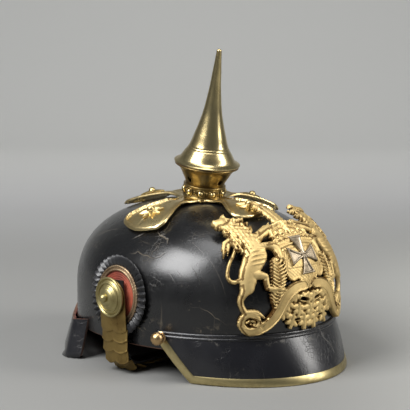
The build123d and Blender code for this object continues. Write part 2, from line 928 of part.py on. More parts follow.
def strap_band(step, reach):
    straight = strap_straight()
    radius = strap_bend_radius - step
    hang = Rectangle(strap_wall, first_scale_top + straight)
    face = Pos(strap_wall / 2, (first_scale_top - straight) / 2) * hang
    bend = Pos(radius, -straight) * (Circle(radius) - Circle(radius - strap_wall))
    bend &= Pos(0, -straight) * Rectangle(radius, radius, align=(Align.MIN, Align.MAX))
    face += bend
    face += Pos(radius, -strap_drop(step)) * Rectangle(
        reach - radius, strap_wall, align=(Align.MIN, Align.MIN))
    return strap_plane().location * extrude(face, amount=strap_width / 2, both=True)


def strap_middle():
    return skull_half_width + strap_level() + strap_wall


def strap_taper(nose):
    wide = strap_width / 2
    thin = strap_end_width / 2
    end = strap_middle() + nose
    start = strap_middle() - strap_taper_start
    finish = strap_middle() - strap_taper_end
    points = [(-cut_overrun, wide), (start, wide), (finish, thin), (end, thin)]
    points += [(x, -y) for x, y in reversed(points)]
    face = make_face(Polyline(*points, close=True))
    plane = strap_plane()
    lying = Plane(origin=plane.origin, x_dir=plane.x_dir, z_dir=-plane.y_dir)
    return extrude(lying * face, amount=slab_half, both=True)


def wire_level():
    return -strap_drop(0) + strap_wall / 2


def free_step():
    return buckle_wire + loop_fit + strap_wall / 2 + strap_wall + scale_gap


def strap_right():
    bar = strap_middle() - buckle_reach
    band = strap_band(0, bar) & strap_taper(0)
    loop = Circle(buckle_wire + loop_fit + strap_wall) - Circle(buckle_wire + loop_fit)
    fold = strap_plane().location * extrude(
        Pos(bar, wire_level()) * loop, amount=strap_end_width / 2 - buckle_clear, both=True)
    bore = strap_plane().location * extrude(
        Pos(bar, wire_level()) * Circle(buckle_wire + loop_fit), amount=slab_half, both=True)
    slot = strap_plane().location * Pos(bar, wire_level(), 0) * Box(
        4 * buckle_clear, 4 * buckle_clear, prong_hub_width + 2 * loop_fit)
    corner = 2 * buckle_wire + loop_fit
    band -= strap_plane().location * Pos(bar, wire_level(), 0) * Box(corner, corner, strap_end_width)
    return largest(band + fold - bore - slot - post_hole(post_radius + post_fit))


def strap_left():
    step = free_step()
    reach = strap_middle() + tongue_reach
    band = strap_band(step, reach) & strap_taper(tongue_reach)
    slot_low = strap_middle() - buckle_reach
    slot_high = strap_middle() + buckle_reach + buckle_clear + 2 * prong_radius
    slot = strap_plane().location * Pos(slot_low, -strap_drop(step), 0) * Box(
        slot_high - slot_low, 4 * strap_wall, prong_slot_width,
        align=(Align.MIN, Align.CENTER, Align.CENTER))
    return mirrored(band - slot - post_hole(post_radius + post_fit))


def buckle_frame():
    half_across = strap_end_width / 2 + buckle_clear
    ring = Rectangle(2 * buckle_reach, 2 * half_across)
    outer = offset(ring, amount=buckle_wire)
    inner = offset(ring, amount=-buckle_wire)
    flat = extrude(outer - inner, amount=buckle_wire, both=True)
    bar = Rot(90, 0, 0) * rod(buckle_wire, -half_across, half_across)
    blank = Pos(-buckle_reach, 0, 0) * Box(
        2 * buckle_wire, 2 * half_across - 2 * buckle_wire, 2 * buckle_wire)
    body = flat - blank + Pos(-buckle_reach, 0, 0) * bar
    return strap_plane().location * Pos(strap_middle(), wire_level(), 0) * Rot(90, 0, 0) * body


def prong_plane():
    plane = strap_plane()
    place = plane.location * Pos(strap_middle() - buckle_reach, wire_level(), 0)
    return place


def buckle_prong():
    hub = Circle(buckle_wire + loop_fit / 2 + prong_hub_wall) - Circle(buckle_wire + loop_fit / 2)
    body = extrude(hub, amount=prong_hub_width / 2, both=True)
    rise = free_step() - strap_wall / 2 + strap_wall + prong_radius + scale_gap
    run = 2 * buckle_reach - buckle_wire
    angle = degrees(atan2(rise, run))
    start = buckle_wire + loop_fit / 2 + prong_hub_wall / 2
    finger = Rot(0, 0, angle) * Rot(0, 90, 0) * rod(prong_radius, start, hypot(rise, run))
    return prong_plane() * (body + finger)


def strap_keeper():
    low = -strap_wall / 2 - keeper_wall - scale_gap
    high = free_step() + strap_wall / 2 + keeper_wall + scale_gap
    half = strap_end_width / 2 + scale_gap
    outer = Box(keeper_width, high - low, 2 * half + 2 * keeper_wall)
    inner = Box(2 * keeper_width, high - low - 2 * keeper_wall, 2 * half)
    place = Pos(strap_middle() - keeper_place, wire_level() + (low + high) / 2, 0)
    return strap_plane().location * place * (outer - inner)


# Ball studs on the front trim ends
def visor_button():
    height = seam_height + button_drop
    share = front_end_setback / (skull_half_length + leather_fit + visor_wall + trim_wall)
    angle = asin(share)
    reach_x = (skull_half_width + leather_fit + welt_wall) * cos(angle)
    reach_y = (skull_half_length + leather_fit + welt_wall) * sin(angle)
    normal = Vector(-reach_x / skull_half_width**2, -reach_y / skull_half_length**2, 0)
    place = Plane(origin=(-reach_x, -reach_y, height), x_dir=(0, 0, 1), z_dir=normal).location
    collar_low = visor_wall + trim_wall + button_lift
    ball = Pos(0, 0, collar_low + button_collar_wall + button_radius * cos(pi / 5)) * Sphere(button_radius)
    collar = rod(button_collar_radius, collar_low, collar_low + button_collar_wall)
    shank = rod(stud_radius, -skull_wall, collar_low + button_collar_wall)
    return place, ball + collar, shank


def visor_button_solid():
    place, head, shank = visor_button()
    return largest(place * (head + shank))


def button_hole():
    place, head, shank = visor_button()
    return place * rod(stud_radius + stud_hole_fit, -2 * cut_overrun, 2 * cut_overrun)


def pair(solid):
    return Compound(children=[solid, mirrored(solid).solid()])


def write(name, shape):
    placed = [Pos(0, frame_shift, 0) * solid for solid in shape.solids()]
    whole = placed[0] if len(placed) == 1 else Compound(children=placed)
    export_step(whole, f"parts/{name}.step")


def main():
    holes = button_hole()
    holes += mirrored(button_hole())
    write("skull", skull() - holes)
    write("front_visor", front_visor() - holes)
    write("front_visor_lining", front_visor_lining())
    write("front_visor_trim", front_visor_trim() - holes)
    write("rear_visor", rear_visor())
    write("rear_visor_lining", rear_visor_lining())
    write("rear_spine", rear_spine())
    write("spine_stud", spine_stud())
    write("sweatband", sweatband())
    write("crown_liner", crown_liner())
    write("visor_buttons", pair(visor_button_solid()))
    write("spike_base", spike_base())
    write("star_studs", star_studs())
    write("stud_nuts", stud_nuts(star_planes() + [spine_plane()]))
    write("pearl_ring", pearl_ring())
    write("spike_neck", spike_neck())
    write("neck_bush", neck_bush())
    write("spike_washer", washer())
    write("spike", spike())
    write("spike_stud", spike_stud())
    write("front_plate", front_plate())
    write("plate_lugs", plate_lugs())
    write("plate_nuts", stud_nuts(lug_planes()))
    write("reserve_cross", reserve_cross())
    for name, make in (
        ("cockade_rim", cockade_rim), ("cockade_cords", cockade_cords),
        ("cockade_field", cockade_field), ("chin_post", chin_post), ("chin_boss", chin_boss)):
        shape = make()
        write(f"{name}_right", shape)
        write(f"{name}_left", mirrored(shape))
    write("chin_post_nuts", pair(post_nut()))
    write("first_scale_right", first_scale(0))
    write("first_scale_left", mirrored(first_scale(free_step())))
    for index in range(scale_count):
        write(f"chin_scale_right_{index + 1}", chin_scale(index, 0))
        write(f"chin_scale_left_{index + 1}", mirrored(chin_scale(index, free_step())))
    write("strap_right", strap_right())
    write("strap_left", strap_left())
    write("buckle_frame", buckle_frame())
    write("buckle_prong", buckle_prong())
    write("strap_keeper", strap_keeper())


main()
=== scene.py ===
import bmesh
import bpy
import json
import math
import numpy as np
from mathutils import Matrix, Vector


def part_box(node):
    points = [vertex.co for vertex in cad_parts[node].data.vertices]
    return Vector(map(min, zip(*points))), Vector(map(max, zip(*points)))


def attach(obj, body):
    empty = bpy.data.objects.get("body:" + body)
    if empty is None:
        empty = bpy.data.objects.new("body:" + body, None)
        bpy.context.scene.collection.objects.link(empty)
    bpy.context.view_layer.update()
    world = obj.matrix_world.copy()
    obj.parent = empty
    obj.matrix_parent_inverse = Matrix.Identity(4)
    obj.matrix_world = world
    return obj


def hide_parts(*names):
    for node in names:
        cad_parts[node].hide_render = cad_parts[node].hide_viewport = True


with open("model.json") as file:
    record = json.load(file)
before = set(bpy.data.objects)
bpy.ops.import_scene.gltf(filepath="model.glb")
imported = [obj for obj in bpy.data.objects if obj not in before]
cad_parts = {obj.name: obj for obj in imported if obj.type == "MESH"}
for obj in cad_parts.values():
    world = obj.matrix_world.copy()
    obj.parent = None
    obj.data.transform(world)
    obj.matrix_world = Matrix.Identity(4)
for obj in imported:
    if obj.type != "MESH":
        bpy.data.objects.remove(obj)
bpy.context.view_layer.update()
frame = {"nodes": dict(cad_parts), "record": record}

# A spiked leather parade helmet. Front along -Y, wearer's right along -X. Sizes in millimetres
# are turned into metres by MM.
MM = 0.001
SKULL_LOW, SKULL_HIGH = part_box("skull")
MID_Y = (SKULL_LOW.y + SKULL_HIGH.y) / 2 / MM
HALF_WIDTH = (SKULL_HIGH.x - SKULL_LOW.x) / 2 / MM
HALF_LENGTH = (SKULL_HIGH.y - SKULL_LOW.y) / 2 / MM
RIM = SKULL_LOW.z / MM
TOP = SKULL_HIGH.z / MM
DOME_START = 55.0
FULLNESS = 0.645
SKULL_WALL = 2.5
WELD = 0.02

# The view: turn, distance, height and aim, and the picture's size, scale and shift in its own units
VIEW_TURN = 43.0
VIEW_AWAY = 1260.9
VIEW_HEIGHT = 328.2
VIEW_AIM = 124.3
VIEW_SCALE = 1518.65
VIEW_SHIFT = 1.96
PICTURE = 410


# Shader building
class Sig:
    """A socket with arithmetic: adds Math nodes for what is written as an expression."""

    def __init__(self, mat, socket):
        self.mat = mat
        self.socket = socket

    def _math(self, operation, *values):
        return self.mat.node("ShaderNodeMath", {"operation": operation}, dict(enumerate(values)))

    def __add__(self, other):
        return self._math("ADD", self, other)

    __radd__ = __add__

    def __mul__(self, other):
        return self._math("MULTIPLY", self, other)

    __rmul__ = __mul__

    def __sub__(self, other):
        return self._math("SUBTRACT", self, other)

    def __rsub__(self, other):
        return self._math("SUBTRACT", other, self)

    def least(self, other):
        return self._math("MINIMUM", self, other)

    def sine(self):
        return self._math("SINE", self)

    def _ramp(self, low, high, start, end):
        return self.mat.node("ShaderNodeMapRange", {"interpolation_type": "SMOOTHSTEP"},
                             {0: self, 1: low, 2: high, 3: start, 4: end})

    def rise(self, low, high):
        """0 below low, 1 above high, smooth between them."""
        return self._ramp(low, high, 0.0, 1.0)

    def fall(self, low, high):
        """1 below low, 0 above high, smooth between them."""
        return self._ramp(low, high, 1.0, 0.0)


class NoiseSig(Sig):
    """A noise texture's value, which also gives its colour."""

    def __init__(self, mat, node):
        super().__init__(mat, node.outputs[0])
        self.made = node

    def colour(self):
        return Sig(self.mat, self.made.outputs[1])


class Finish:
    """One material: makes nodes and joins them."""

    def __init__(self, name):
        self.material = bpy.data.materials.new(name)
        self.material.use_nodes = True
        self.tree = self.material.node_tree
        self.shader = self.tree.nodes["Principled BSDF"]
        self.place = Sig(self, self.raw("ShaderNodeTexCoord", {}).outputs["Object"])

    def raw(self, kind, settings):
        node = self.tree.nodes.new(kind)
        for key, value in settings.items():
            setattr(node, key, value)
        return node

    def feed(self, node, inputs):
        for key, value in inputs.items():
            if isinstance(value, Sig):
                self.tree.links.new(value.socket, node.inputs[key])
            else:
                node.inputs[key].default_value = value

    def node(self, kind, settings, inputs, output=0):
        made = self.raw(kind, settings)
        self.feed(made, inputs)
        return Sig(self, made.outputs[output])

    def noise(self, scale, detail=3.0, rough=0.55, warp=0.0, place=None):
        inputs = {"Vector": place or self.place, "Scale": scale, "Detail": detail, "Roughness": rough,
                  "Distortion": warp}
        made = self.raw("ShaderNodeTexNoise", {})
        self.feed(made, inputs)
        return NoiseSig(self, made)

    def cells(self, scale, feature="DISTANCE_TO_EDGE", place=None):
        return self.node("ShaderNodeTexVoronoi", {"feature": feature},
                         {"Vector": place or self.place, "Scale": scale})

    def turned(self, angle, scale):
        """The place turned about a slanted axis and stretched."""
        settings = {"Vector": self.place, "Rotation": (angle, angle * 0.6, angle * 1.3), "Scale": scale}
        return self.node("ShaderNodeMapping", {"vector_type": "POINT"}, settings)

    def stretched(self, x, y, z):
        return self.node("ShaderNodeMapping", {}, {"Vector": self.place, "Scale": (x, y, z)})

    def axis(self, index):
        return self.node("ShaderNodeSeparateXYZ", {}, {0: self.place}, index)

    def blend(self, mask, one, other):
        """One colour where the mask is 0, the other where it is 1."""
        return self.node("ShaderNodeMix", {"data_type": "RGBA"}, {0: mask, 6: one, 7: other}, 2)

    def attribute(self, name):
        return self.node("ShaderNodeAttribute", {"attribute_name": name}, {}, 2)

    def bump(self, height, strength, distance):
        return self.node("ShaderNodeBump", {}, {"Height": height, "Strength": strength, "Distance": distance})

    def set(self, **inputs):
        names = {name.replace(" ", "_").lower(): name for name in self.shader.inputs.keys()}
        for key, value in inputs.items():
            self.feed(self.shader, {names[key]: value})
        return self.material


def rgb(red, green, blue):
    """A colour given in display values from 0 to 255, as linear values."""
    linear = []
    for value in (red / 255, green / 255, blue / 255):
        linear.append(value / 12.92 if value < 0.04045 else ((value + 0.055) / 1.055) ** 2.4)
    return (*linear, 1.0)


def lacquered_leather(name, base, worn, gloss, crazing=1.0, dust=0.35, seam=None):
    """Black lacquer with crazing, long cracks, scratches, scuffs and dust. The seam is the height in
    metres at which dirt lies along a joint."""
    f = Finish(name)
    grain = f.noise(900, 4, 0.6)
    cloud = f.noise(18, 5, 0.6, 0.4)
    cracks = f.cells(260).fall(0.0, 0.05)
    patches = f.noise(30, 4, 0.6, 0.8).rise(0.52, 0.68)
    crazed = cracks * patches * crazing
    sway = f.node("ShaderNodeVectorMath", {"operation": "SCALE"}, {0: f.noise(40, 3).colour(), 3: 0.02})
    bent = f.node("ShaderNodeVectorMath", {"operation": "ADD"}, {0: f.place, 1: sway})
    long_cracks = f.cells(21, place=bent).fall(0.0, 0.014)
    long_cracks = long_cracks * f.noise(11, 3).rise(0.54, 0.6) * crazing
    scratches = 0
    for turn, fine in ((0.5, 420), (1.3, 560), (2.4, 480)):
        lines = f.noise(1.0, 2, 0.6, 0.25, f.turned(turn, (fine, 16, 16))).rise(0.66, 0.72)
        where = f.noise(14, 3, place=f.turned(turn + 1, (1, 1, 1))).rise(0.5, 0.62)
        scratches = lines * where + scratches
    scuffs = f.noise(9, 6, 0.75, 1.6, f.stretched(3.0, 1.2, 7.0)).rise(0.63, 0.72)
    specks = f.noise(420, 2, 0.5).rise(0.69, 0.74)
    specks = specks * f.noise(26, 3).rise(0.44, 0.66)
    film = f.noise(7, 4, 0.6).rise(0.45, 0.75)
    wear = (scuffs * dust + specks * 0.9 * dust + crazed * 0.35 + long_cracks * 0.7
            + scratches * 0.24 * crazing + film * 0.06 * dust).least(1.0)
    if seam:
        level = f.axis(2)
        band = level.rise(seam - 0.004, seam) * level.fall(seam, seam + 0.012)
        crumbs = f.noise(150, 5, 0.7, 0.6).rise(0.54, 0.66)
        crumbs = band * crumbs * f.noise(24, 3).rise(0.44, 0.6)
        wear = (wear + crumbs * 0.9).least(1.0)
    colour = f.blend(cloud.rise(0.35, 0.7), rgb(*base), rgb(*[v + 9 for v in base]))
    colour = f.blend(wear, colour, rgb(*worn))
    rough = (gloss + 0.12 * cloud.rise(0.4, 0.7) + 0.3 * wear + 0.06 * grain).least(0.9)
    height = grain * 0.35 + cloud * 1.2 - crazed * 1.5 - long_cracks * 2.0 - scratches * 0.4
    relief = f.bump(height, 0.35, 0.0006)
    return f.set(base_color=colour, roughness=rough, normal=relief, specular_ior_level=0.45,
                 coat_weight=0.28, coat_roughness=0.2)


def worn_brass(name, bright, deep, gloss, patina, grime_depth=None):
    """Polished brass with tarnish. The grime darkens what lies lower than its surroundings."""
    f = Finish(name)
    cloud = f.noise(42, 5, 0.62, 0.5)
    fine = f.noise(700, 3, 0.6)
    spots = f.noise(160, 4, 0.6).rise(0.6, 0.72)
    tarnish = (cloud.rise(0.38, 0.72) * patina + spots * patina * 0.4).least(1.0)
    if grime_depth:
        low = f.attribute("depth").fall(grime_depth[0], grime_depth[1])
        tarnish = (tarnish + low * 0.75).least(1.0)
    colour = f.blend(tarnish, rgb(*bright), rgb(*deep))
    scratch = f.noise(60, 4, 0.7, 0.2, f.stretched(1.0, 1.0, 9.0))
    rough = (gloss + 0.22 * tarnish + 0.06 * fine + 0.05 * scratch).least(0.8)
    relief = f.bump(fine * 0.25 + cloud * 0.5 + scratch * 0.3, 0.18, 0.0003)
    return f.set(base_color=colour, roughness=rough, metallic=1.0, normal=relief)


def plain_leather(name, base, deep, rough):
    """Stained leather or cloth without a gloss."""
    f = Finish(name)
    grain = f.cells(520, "F1")
    cloud = f.noise(36, 5, 0.65, 0.5)
    stain = cloud.rise(0.35, 0.7)
    colour = f.blend(stain, rgb(*base), rgb(*deep))
    relief = f.bump(grain * 0.5 + f.noise(900, 3) * 0.4 + cloud, 0.4, 0.0004)
    return f.set(base_color=colour, roughness=(rough + 0.12 * stain).least(0.9), normal=relief)


def ribbed_silk(name, base, deep):
    """Stained silk with fine level ribs."""
    f = Finish(name)
    weave = (f.axis(2) * 5200).sine() * 0.5 + f.noise(1400, 2) * 0.5
    stain = f.noise(24, 5, 0.6, 0.4).rise(0.4, 0.7)
    colour = f.blend(stain, rgb(*base), rgb(*deep))
    return f.set(base_color=colour, roughness=0.62 + 0.1 * stain, normal=f.bump(weave, 0.3, 0.0002),
                 sheen_weight=0.3)


def steel_finish(name, base, deep, rough=0.34):
    """Clouded grey metal."""
    f = Finish(name)
    cloud = f.noise(90, 5, 0.6).rise(0.4, 0.7)
    colour = f.blend(cloud, rgb(*base), rgb(*deep))
    relief = f.bump(f.noise(800, 3), 0.15, 0.0002)
    return f.set(base_color=colour, roughness=rough + 0.2 * cloud, metallic=1.0, normal=relief)


# Each material's maker, its two colours in display values and what else the maker takes
SHELL_SEAM = 0.0385
VISOR_SEAM = 0.033
FINISHES = {
    "shell_leather": (lacquered_leather, (15, 15, 16), (112, 102, 86), 0.2, 1.0, 0.35, SHELL_SEAM),
    "visor_leather": (lacquered_leather, (19, 19, 23), (106, 102, 94), 0.22, 0.7, 0.22, VISOR_SEAM),
    "front_lining": (plain_leather, (62, 74, 48), (38, 44, 30), 0.55),
    "rear_lining": (plain_leather, (120, 52, 40), (66, 28, 22), 0.6),
    "band_leather": (plain_leather, (120, 84, 54), (72, 46, 30), 0.62),
    "raw_edge": (plain_leather, (104, 74, 58), (52, 36, 30), 0.7),
    "liner_silk": (ribbed_silk, (112, 92, 68), (70, 54, 38)),
    "gilt_brass": (worn_brass, (214, 196, 146), (132, 110, 64), 0.16, 0.5),
    "neck_brass": (worn_brass, (160, 138, 88), (84, 64, 34), 0.24, 0.7),
    "base_brass": (worn_brass, (234, 212, 156), (122, 98, 52), 0.22, 0.6),
    "star_brass": (worn_brass, (206, 184, 130), (128, 102, 58), 0.26, 0.5),
    "stud_brass": (worn_brass, (200, 168, 122), (138, 104, 70), 0.24, 0.5),
    "plate_brass": (worn_brass, (226, 200, 141), (98, 70, 36), 0.5, 0.34, (-0.0008, 0.0)),
    "trim_brass": (worn_brass, (200, 184, 134), (118, 102, 64), 0.26, 0.6),
    "scale_brass": (worn_brass, (156, 132, 80), (92, 72, 40), 0.4, 0.8),
    "boss_brass": (worn_brass, (182, 170, 122), (106, 92, 54), 0.36, 0.6),
    "dark_brass": (worn_brass, (150, 120, 68), (78, 58, 32), 0.36, 0.8),
    "silver": (steel_finish, (168, 154, 132), (104, 94, 76), 0.44),
    "steel": (steel_finish, (150, 146, 140), (92, 86, 80)),
    "cockade_black": (lacquered_leather, (36, 36, 38), (124, 118, 112), 0.34, 0.0, 0.25),
    "cockade_silver": (worn_brass, (196, 172, 140), (96, 74, 58), 0.36, 0.8),
    "cockade_red": (plain_leather, (186, 92, 66), (122, 54, 40), 0.5),
    "thread": (plain_leather, (34, 31, 30), (14, 13, 13), 0.8),
    "strap_leather": (lacquered_leather, (26, 25, 26), (88, 72, 58), 0.42, 0.5, 0.5),
}
MATERIALS = {name: make(name, *settings) for name, (make, *settings) in FINISHES.items()}


# Shares of a way, and small shapes of a number
def part_way(value, start, run):
    """The share of the way from start to start + run, held between 0 and 1."""
    return np.clip((value - start) / run, 0, 1)


def eased(share):
    """A share with a soft start and end."""
    return share * share * (3 - 2 * share)


def bell(value, centre, width):
    return np.exp(-((value - centre) / width)**2)


def dome(out):
    """The height of a round top: 1 in its middle, 0 where out is 1."""
    return np.sqrt(np.clip(1 - out * out, 0, 1))


def spread(values, count):
    """A run of values, read off at more or fewer even places."""
    return np.interp(np.linspace(0, 1, count), np.linspace(0, 1, len(values)), values)


def round_turns(count):
    return 2 * np.pi * np.arange(count) / count


# Crown shape: one quarter of the arch as a cubic curve, shared by every level and direction
SHARES = np.linspace(0, 1, 400)
ARCH_OUT = (1 - SHARES)**3 + 3 * (1 - SHARES)**2 * SHARES + 3 * (1 - SHARES) * SHARES**2 * FULLNESS
ARCH_UP = 3 * (1 - SHARES)**2 * SHARES * FULLNESS + 3 * (1 - SHARES) * SHARES**2 + SHARES**3


def crown_share(height, grow=0.0):
    up = np.clip((np.asarray(height, float) - DOME_START) / (TOP - DOME_START + grow), 0, 1)
    return np.interp(up, ARCH_UP, ARCH_OUT)


def crown_height(x, y, grow=0.0):
    out = np.hypot(x / (HALF_WIDTH + grow), y / (HALF_LENGTH + grow))
    return DOME_START + (TOP - DOME_START + grow) * np.interp(out, ARCH_OUT[::-1], ARCH_UP[::-1])


def front_depth(x, height, grow=0.0):
    rest = crown_share(height, grow)**2 - (x / (HALF_WIDTH + grow))**2
    return -(HALF_LENGTH + grow) * np.sqrt(np.maximum(rest, 0))


# Mesh building
def linked(name, data):
    """A new object in the scene."""
    made = bpy.data.objects.new(name, data)
    bpy.context.scene.collection.objects.link(made)
    return made


def in_metres(x, y, z):
    """A point in millimetres from the skull's middle line, in the frame's metres."""
    return x * MM, (y + MID_Y) * MM, z * MM


def piece(name, points, faces, slot, body, replaces=(), material=None, merge=False, flip=False):
    """A piece from points in millimetres, measured from the skull's middle line."""
    mesh = bpy.data.meshes.new(name)
    mesh.from_pydata([in_metres(*point) for point in points], [], [tuple(face) for face in faces])
    if merge or flip:
        work = bmesh.new()
        work.from_mesh(mesh)
        if merge:
            bmesh.ops.remove_doubles(work, verts=work.verts, dist=WELD * MM)
            bmesh.ops.recalc_face_normals(work, faces=work.faces)
        if flip:
            bmesh.ops.reverse_faces(work, faces=work.faces)
        work.to_mesh(mesh)
        work.free()
    mesh.materials.append(MATERIALS[material or slot])
    mesh.polygons.foreach_set("use_smooth", [True] * len(mesh.polygons))
    return ride(linked(name, mesh), body, replaces)


def ride(made, body, replaces=()):
    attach(made, body)
    if replaces:
        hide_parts(*replaces)
    return made


def sharpen(made, angle=35):
    made.data.set_sharp_from_angle(angle=math.radians(angle))
    return made


def grid_faces(rows, columns, wrap_columns=False, wrap_rows=False):
    """The faces between rows of points. Each row, or the run of rows, may close on itself."""
    faces = []
    for row in range(rows if wrap_rows else rows - 1):
        for column in range(columns if wrap_columns else columns - 1):
            right = (column + 1) % columns
            below = (row + 1) % rows
            faces.append((row * columns + column, row * columns + right,
                          below * columns + right, below * columns + column))
    return faces


def tilted_frame(origin, normal, hint):
    """An origin and three axes: across, which is nearest the hint, along, and the normal."""
    normal = Vector(normal).normalized()
    across = Vector(hint)
    across = (across - normal * across.dot(normal)).normalized()
    return Vector(origin), across, normal.cross(across), normal


def put(frame_axes, points):
    """Points given in a frame of their own, in the skull's millimetres."""
    origin, across, along, normal = frame_axes
    return [tuple(origin + across * x + along * y + normal * z) for x, y, z in points]


def joined(*parts):
    """Several (points, faces) as one."""
    points, faces = [], []
    for more, shape in parts:
        start = len(points)
        points += list(more)
        faces += [tuple(start + index for index in face) for face in shape]
    return points, faces


def smooth_line(points, count):
    """Evenly numbered points on a smooth curve through the given ones."""
    given = np.array(points, float)
    gaps = np.maximum(np.linalg.norm(np.diff(given, axis=0), axis=1), 1e-6)
    along = np.concatenate(([0], np.cumsum(gaps)))
    slopes = np.diff(given, axis=0) / gaps[:, None]
    both = (gaps[1:] + gaps[:-1])[:, None]
    turn = np.vstack((slopes[:1], slopes))
    turn[1:-1] = (slopes[:-1] * gaps[1:, None] + slopes[1:] * gaps[:-1, None]) / both
    where = np.linspace(0, along[-1], count)
    index = np.clip(np.searchsorted(along, where, "right") - 1, 0, len(gaps) - 1)
    t = ((where - along[index]) / gaps[index])[:, None]
    size = gaps[index][:, None]
    start, end = given[index], given[index + 1]
    return ((2 * t**3 - 3 * t**2 + 1) * start + (t**3 - 2 * t**2 + t) * size * turn[index]
            + (3 * t**2 - 2 * t**3) * end + (t**3 - t**2) * size * turn[index + 1])


def lathe(profile, count):
    """A closed section of (radius, height) pairs turned round Z, anticlockwise from its outer foot."""
    points = [(radius * math.cos(turn), radius * math.sin(turn), height)
              for radius, height in profile for turn in round_turns(count)]
    return points, grid_faces(len(profile), count, True, True)


def arc(centre_out, centre_up, radius, start, end, count=9):
    """Points on a round bead of a section, angles in degrees."""
    turns = np.radians(np.linspace(start, end, count))
    return [(centre_out + radius * math.cos(turn), centre_up + radius * math.sin(turn)) for turn in turns]


def sheet_solid(outer, inner):
    """A thin closed solid between two grids of points of one size."""
    rows, columns = outer.shape[:2]
    size = rows * columns
    faces = grid_faces(rows, columns)
    faces += [tuple(size + index for index in reversed(face)) for face in faces]
    rim = list(range(columns))
    rim += [row * columns + columns - 1 for row in range(1, rows)]
    rim += [(rows - 1) * columns + column for column in range(columns - 2, -1, -1)]
    rim += [row * columns for row in range(rows - 2, 0, -1)]
    for here, there in zip(rim, rim[1:] + rim[:1]):
        faces.append((there, here, size + here, size + there))
    points = np.vstack((outer.reshape(-1, 3), inner.reshape(-1, 3)))
    return points, faces


def swept(rows):
    """A closed section swept along a path: rows of section points, each a row of path points."""
    rows = np.array(rows, float)
    count, columns = rows.shape[:2]
    faces = grid_faces(count, columns, False, True)
    faces.append(tuple(row * columns for row in range(count)))
    faces.append(tuple(row * columns + columns - 1 for row in reversed(range(count))))
    return rows.reshape(-1, 3), faces


def repaint(made, material, test):
    """Gives the faces whose middle passes a test another material. The test reads millimetres."""
    made.data.materials.append(MATERIALS[material])
    for face in made.data.polygons:
        x, y, z = (value / MM for value in face.center)
        if test(x, y - MID_Y, z, face.normal):
            face.material_index = 1
    return made


def mirrored_piece(made, name, replaces, material=None):
    """The same piece on the wearer's other side."""
    mesh = made.data.copy()
    mesh.name = name
    points = np.empty(3 * len(mesh.vertices))
    mesh.vertices.foreach_get("co", points)
    points[::3] *= -1
    mesh.vertices.foreach_set("co", points)
    mesh.flip_normals()
    if material:
        mesh.materials[0] = MATERIALS[material]
    return ride(linked(name, mesh), "helmet", replaces)


# Repeats along a path
def nodes_of(tree):
    """A maker of nodes whose inputs are given by name, as values or as links."""
    def make(kind, settings=None, **inputs):
        node = tree.nodes.new(kind)
        for key, value in (settings or {}).items():
            setattr(node, key, value)
        for key, value in inputs.items():
            if isinstance(value, bpy.types.NodeSocket):
                tree.links.new(value, node.inputs[key])
            else:
                node.inputs[key].default_value = value
        return node
    return make


def repeat_tree():
    """Puts one rounded bead, as long, wide and high as it is told, along a curve."""
    tree = bpy.data.node_groups.new("beads_along_path", "GeometryNodeTree")
    for name, kind in (("Path", "Geometry"), ("Pitch", "Float"), ("Size", "Vector"), ("Facets", "Int"),
                       ("Finish", "Material")):
        tree.interface.new_socket(name, in_out="INPUT", socket_type="NodeSocket" + kind)
    tree.interface.new_socket("Beads", in_out="OUTPUT", socket_type="NodeSocketGeometry")
    make = nodes_of(tree)
    given = make("NodeGroupInput").outputs
    even = make("GeometryNodeResampleCurve", {"mode": "LENGTH"}, Curve=given["Path"], Length=given["Pitch"])
    ball = make("GeometryNodeMeshUVSphere", Segments=given["Facets"], Rings=given["Facets"], Radius=0.5)
    bead = make("GeometryNodeTransform", Geometry=ball.outputs[0], Scale=given["Size"])
    tangent = make("GeometryNodeInputTangent")
    turn = make("FunctionNodeAlignRotationToVector", {"axis": "X"}, Vector=tangent.outputs[0])
    placed = make("GeometryNodeInstanceOnPoints", Points=even.outputs[0], Instance=bead.outputs[0],
                  Rotation=turn.outputs[0])
    real = make("GeometryNodeRealizeInstances", Geometry=placed.outputs[0])
    smooth = make("GeometryNodeSetShadeSmooth", Geometry=real.outputs[0])
    painted = make("GeometryNodeSetMaterial", Geometry=smooth.outputs[0], Material=given["Finish"])
    out = make("NodeGroupOutput")
    tree.links.new(painted.outputs[0], out.inputs[0])
    return tree


BEADS = repeat_tree()


def beads_along(name, path, pitch, size, body, material, facets):
    """Rounded beads or stitches along a path given in millimetres from the skull's middle line."""
    curve = bpy.data.curves.new(name + "_path", "CURVE")
    curve.dimensions = "3D"
    spline = curve.splines.new("POLY")
    spline.points.add(len(path) - 1)
    for point, place in zip(spline.points, path):
        point.co = (*in_metres(*place), 1)
    source = linked(name + "_path", curve)
    modifier = source.modifiers.new("beads", "NODES")
    modifier.node_group = BEADS
    values = {"Pitch": pitch * MM, "Size": tuple(value * MM for value in size), "Facets": facets,
              "Finish": MATERIALS[material]}
    for item in BEADS.interface.items_tree:
        if item.in_out == "INPUT" and item.name in values:
            modifier[item.identifier] = values[item.name]
    bpy.context.view_layer.update()
    mesh = bpy.data.meshes.new_from_object(source.evaluated_get(bpy.context.evaluated_depsgraph_get()))
    mesh.name = name
    bpy.data.objects.remove(source)
    return ride(linked(name, mesh), body)


# Leather shell
ROUND = 240


def oval_row(grow, out, height):
    """One level ring of the skull, grown outwards and then drawn in to a share of its size."""
    turns = round_turns(ROUND)
    x = (HALF_WIDTH + grow) * out * np.cos(turns)
    y = (HALF_LENGTH + grow) * out * np.sin(turns)
    return np.stack((x, y, np.full(ROUND, float(height))), 1)


def crown_row(grow, share):
    """The ring at a share of the arch, from the dome's start to its top."""
    out, up = np.interp(share, SHARES, ARCH_OUT), np.interp(share, SHARES, ARCH_UP)
    return oval_row(grow, out, DOME_START + (TOP - DOME_START + grow) * up)


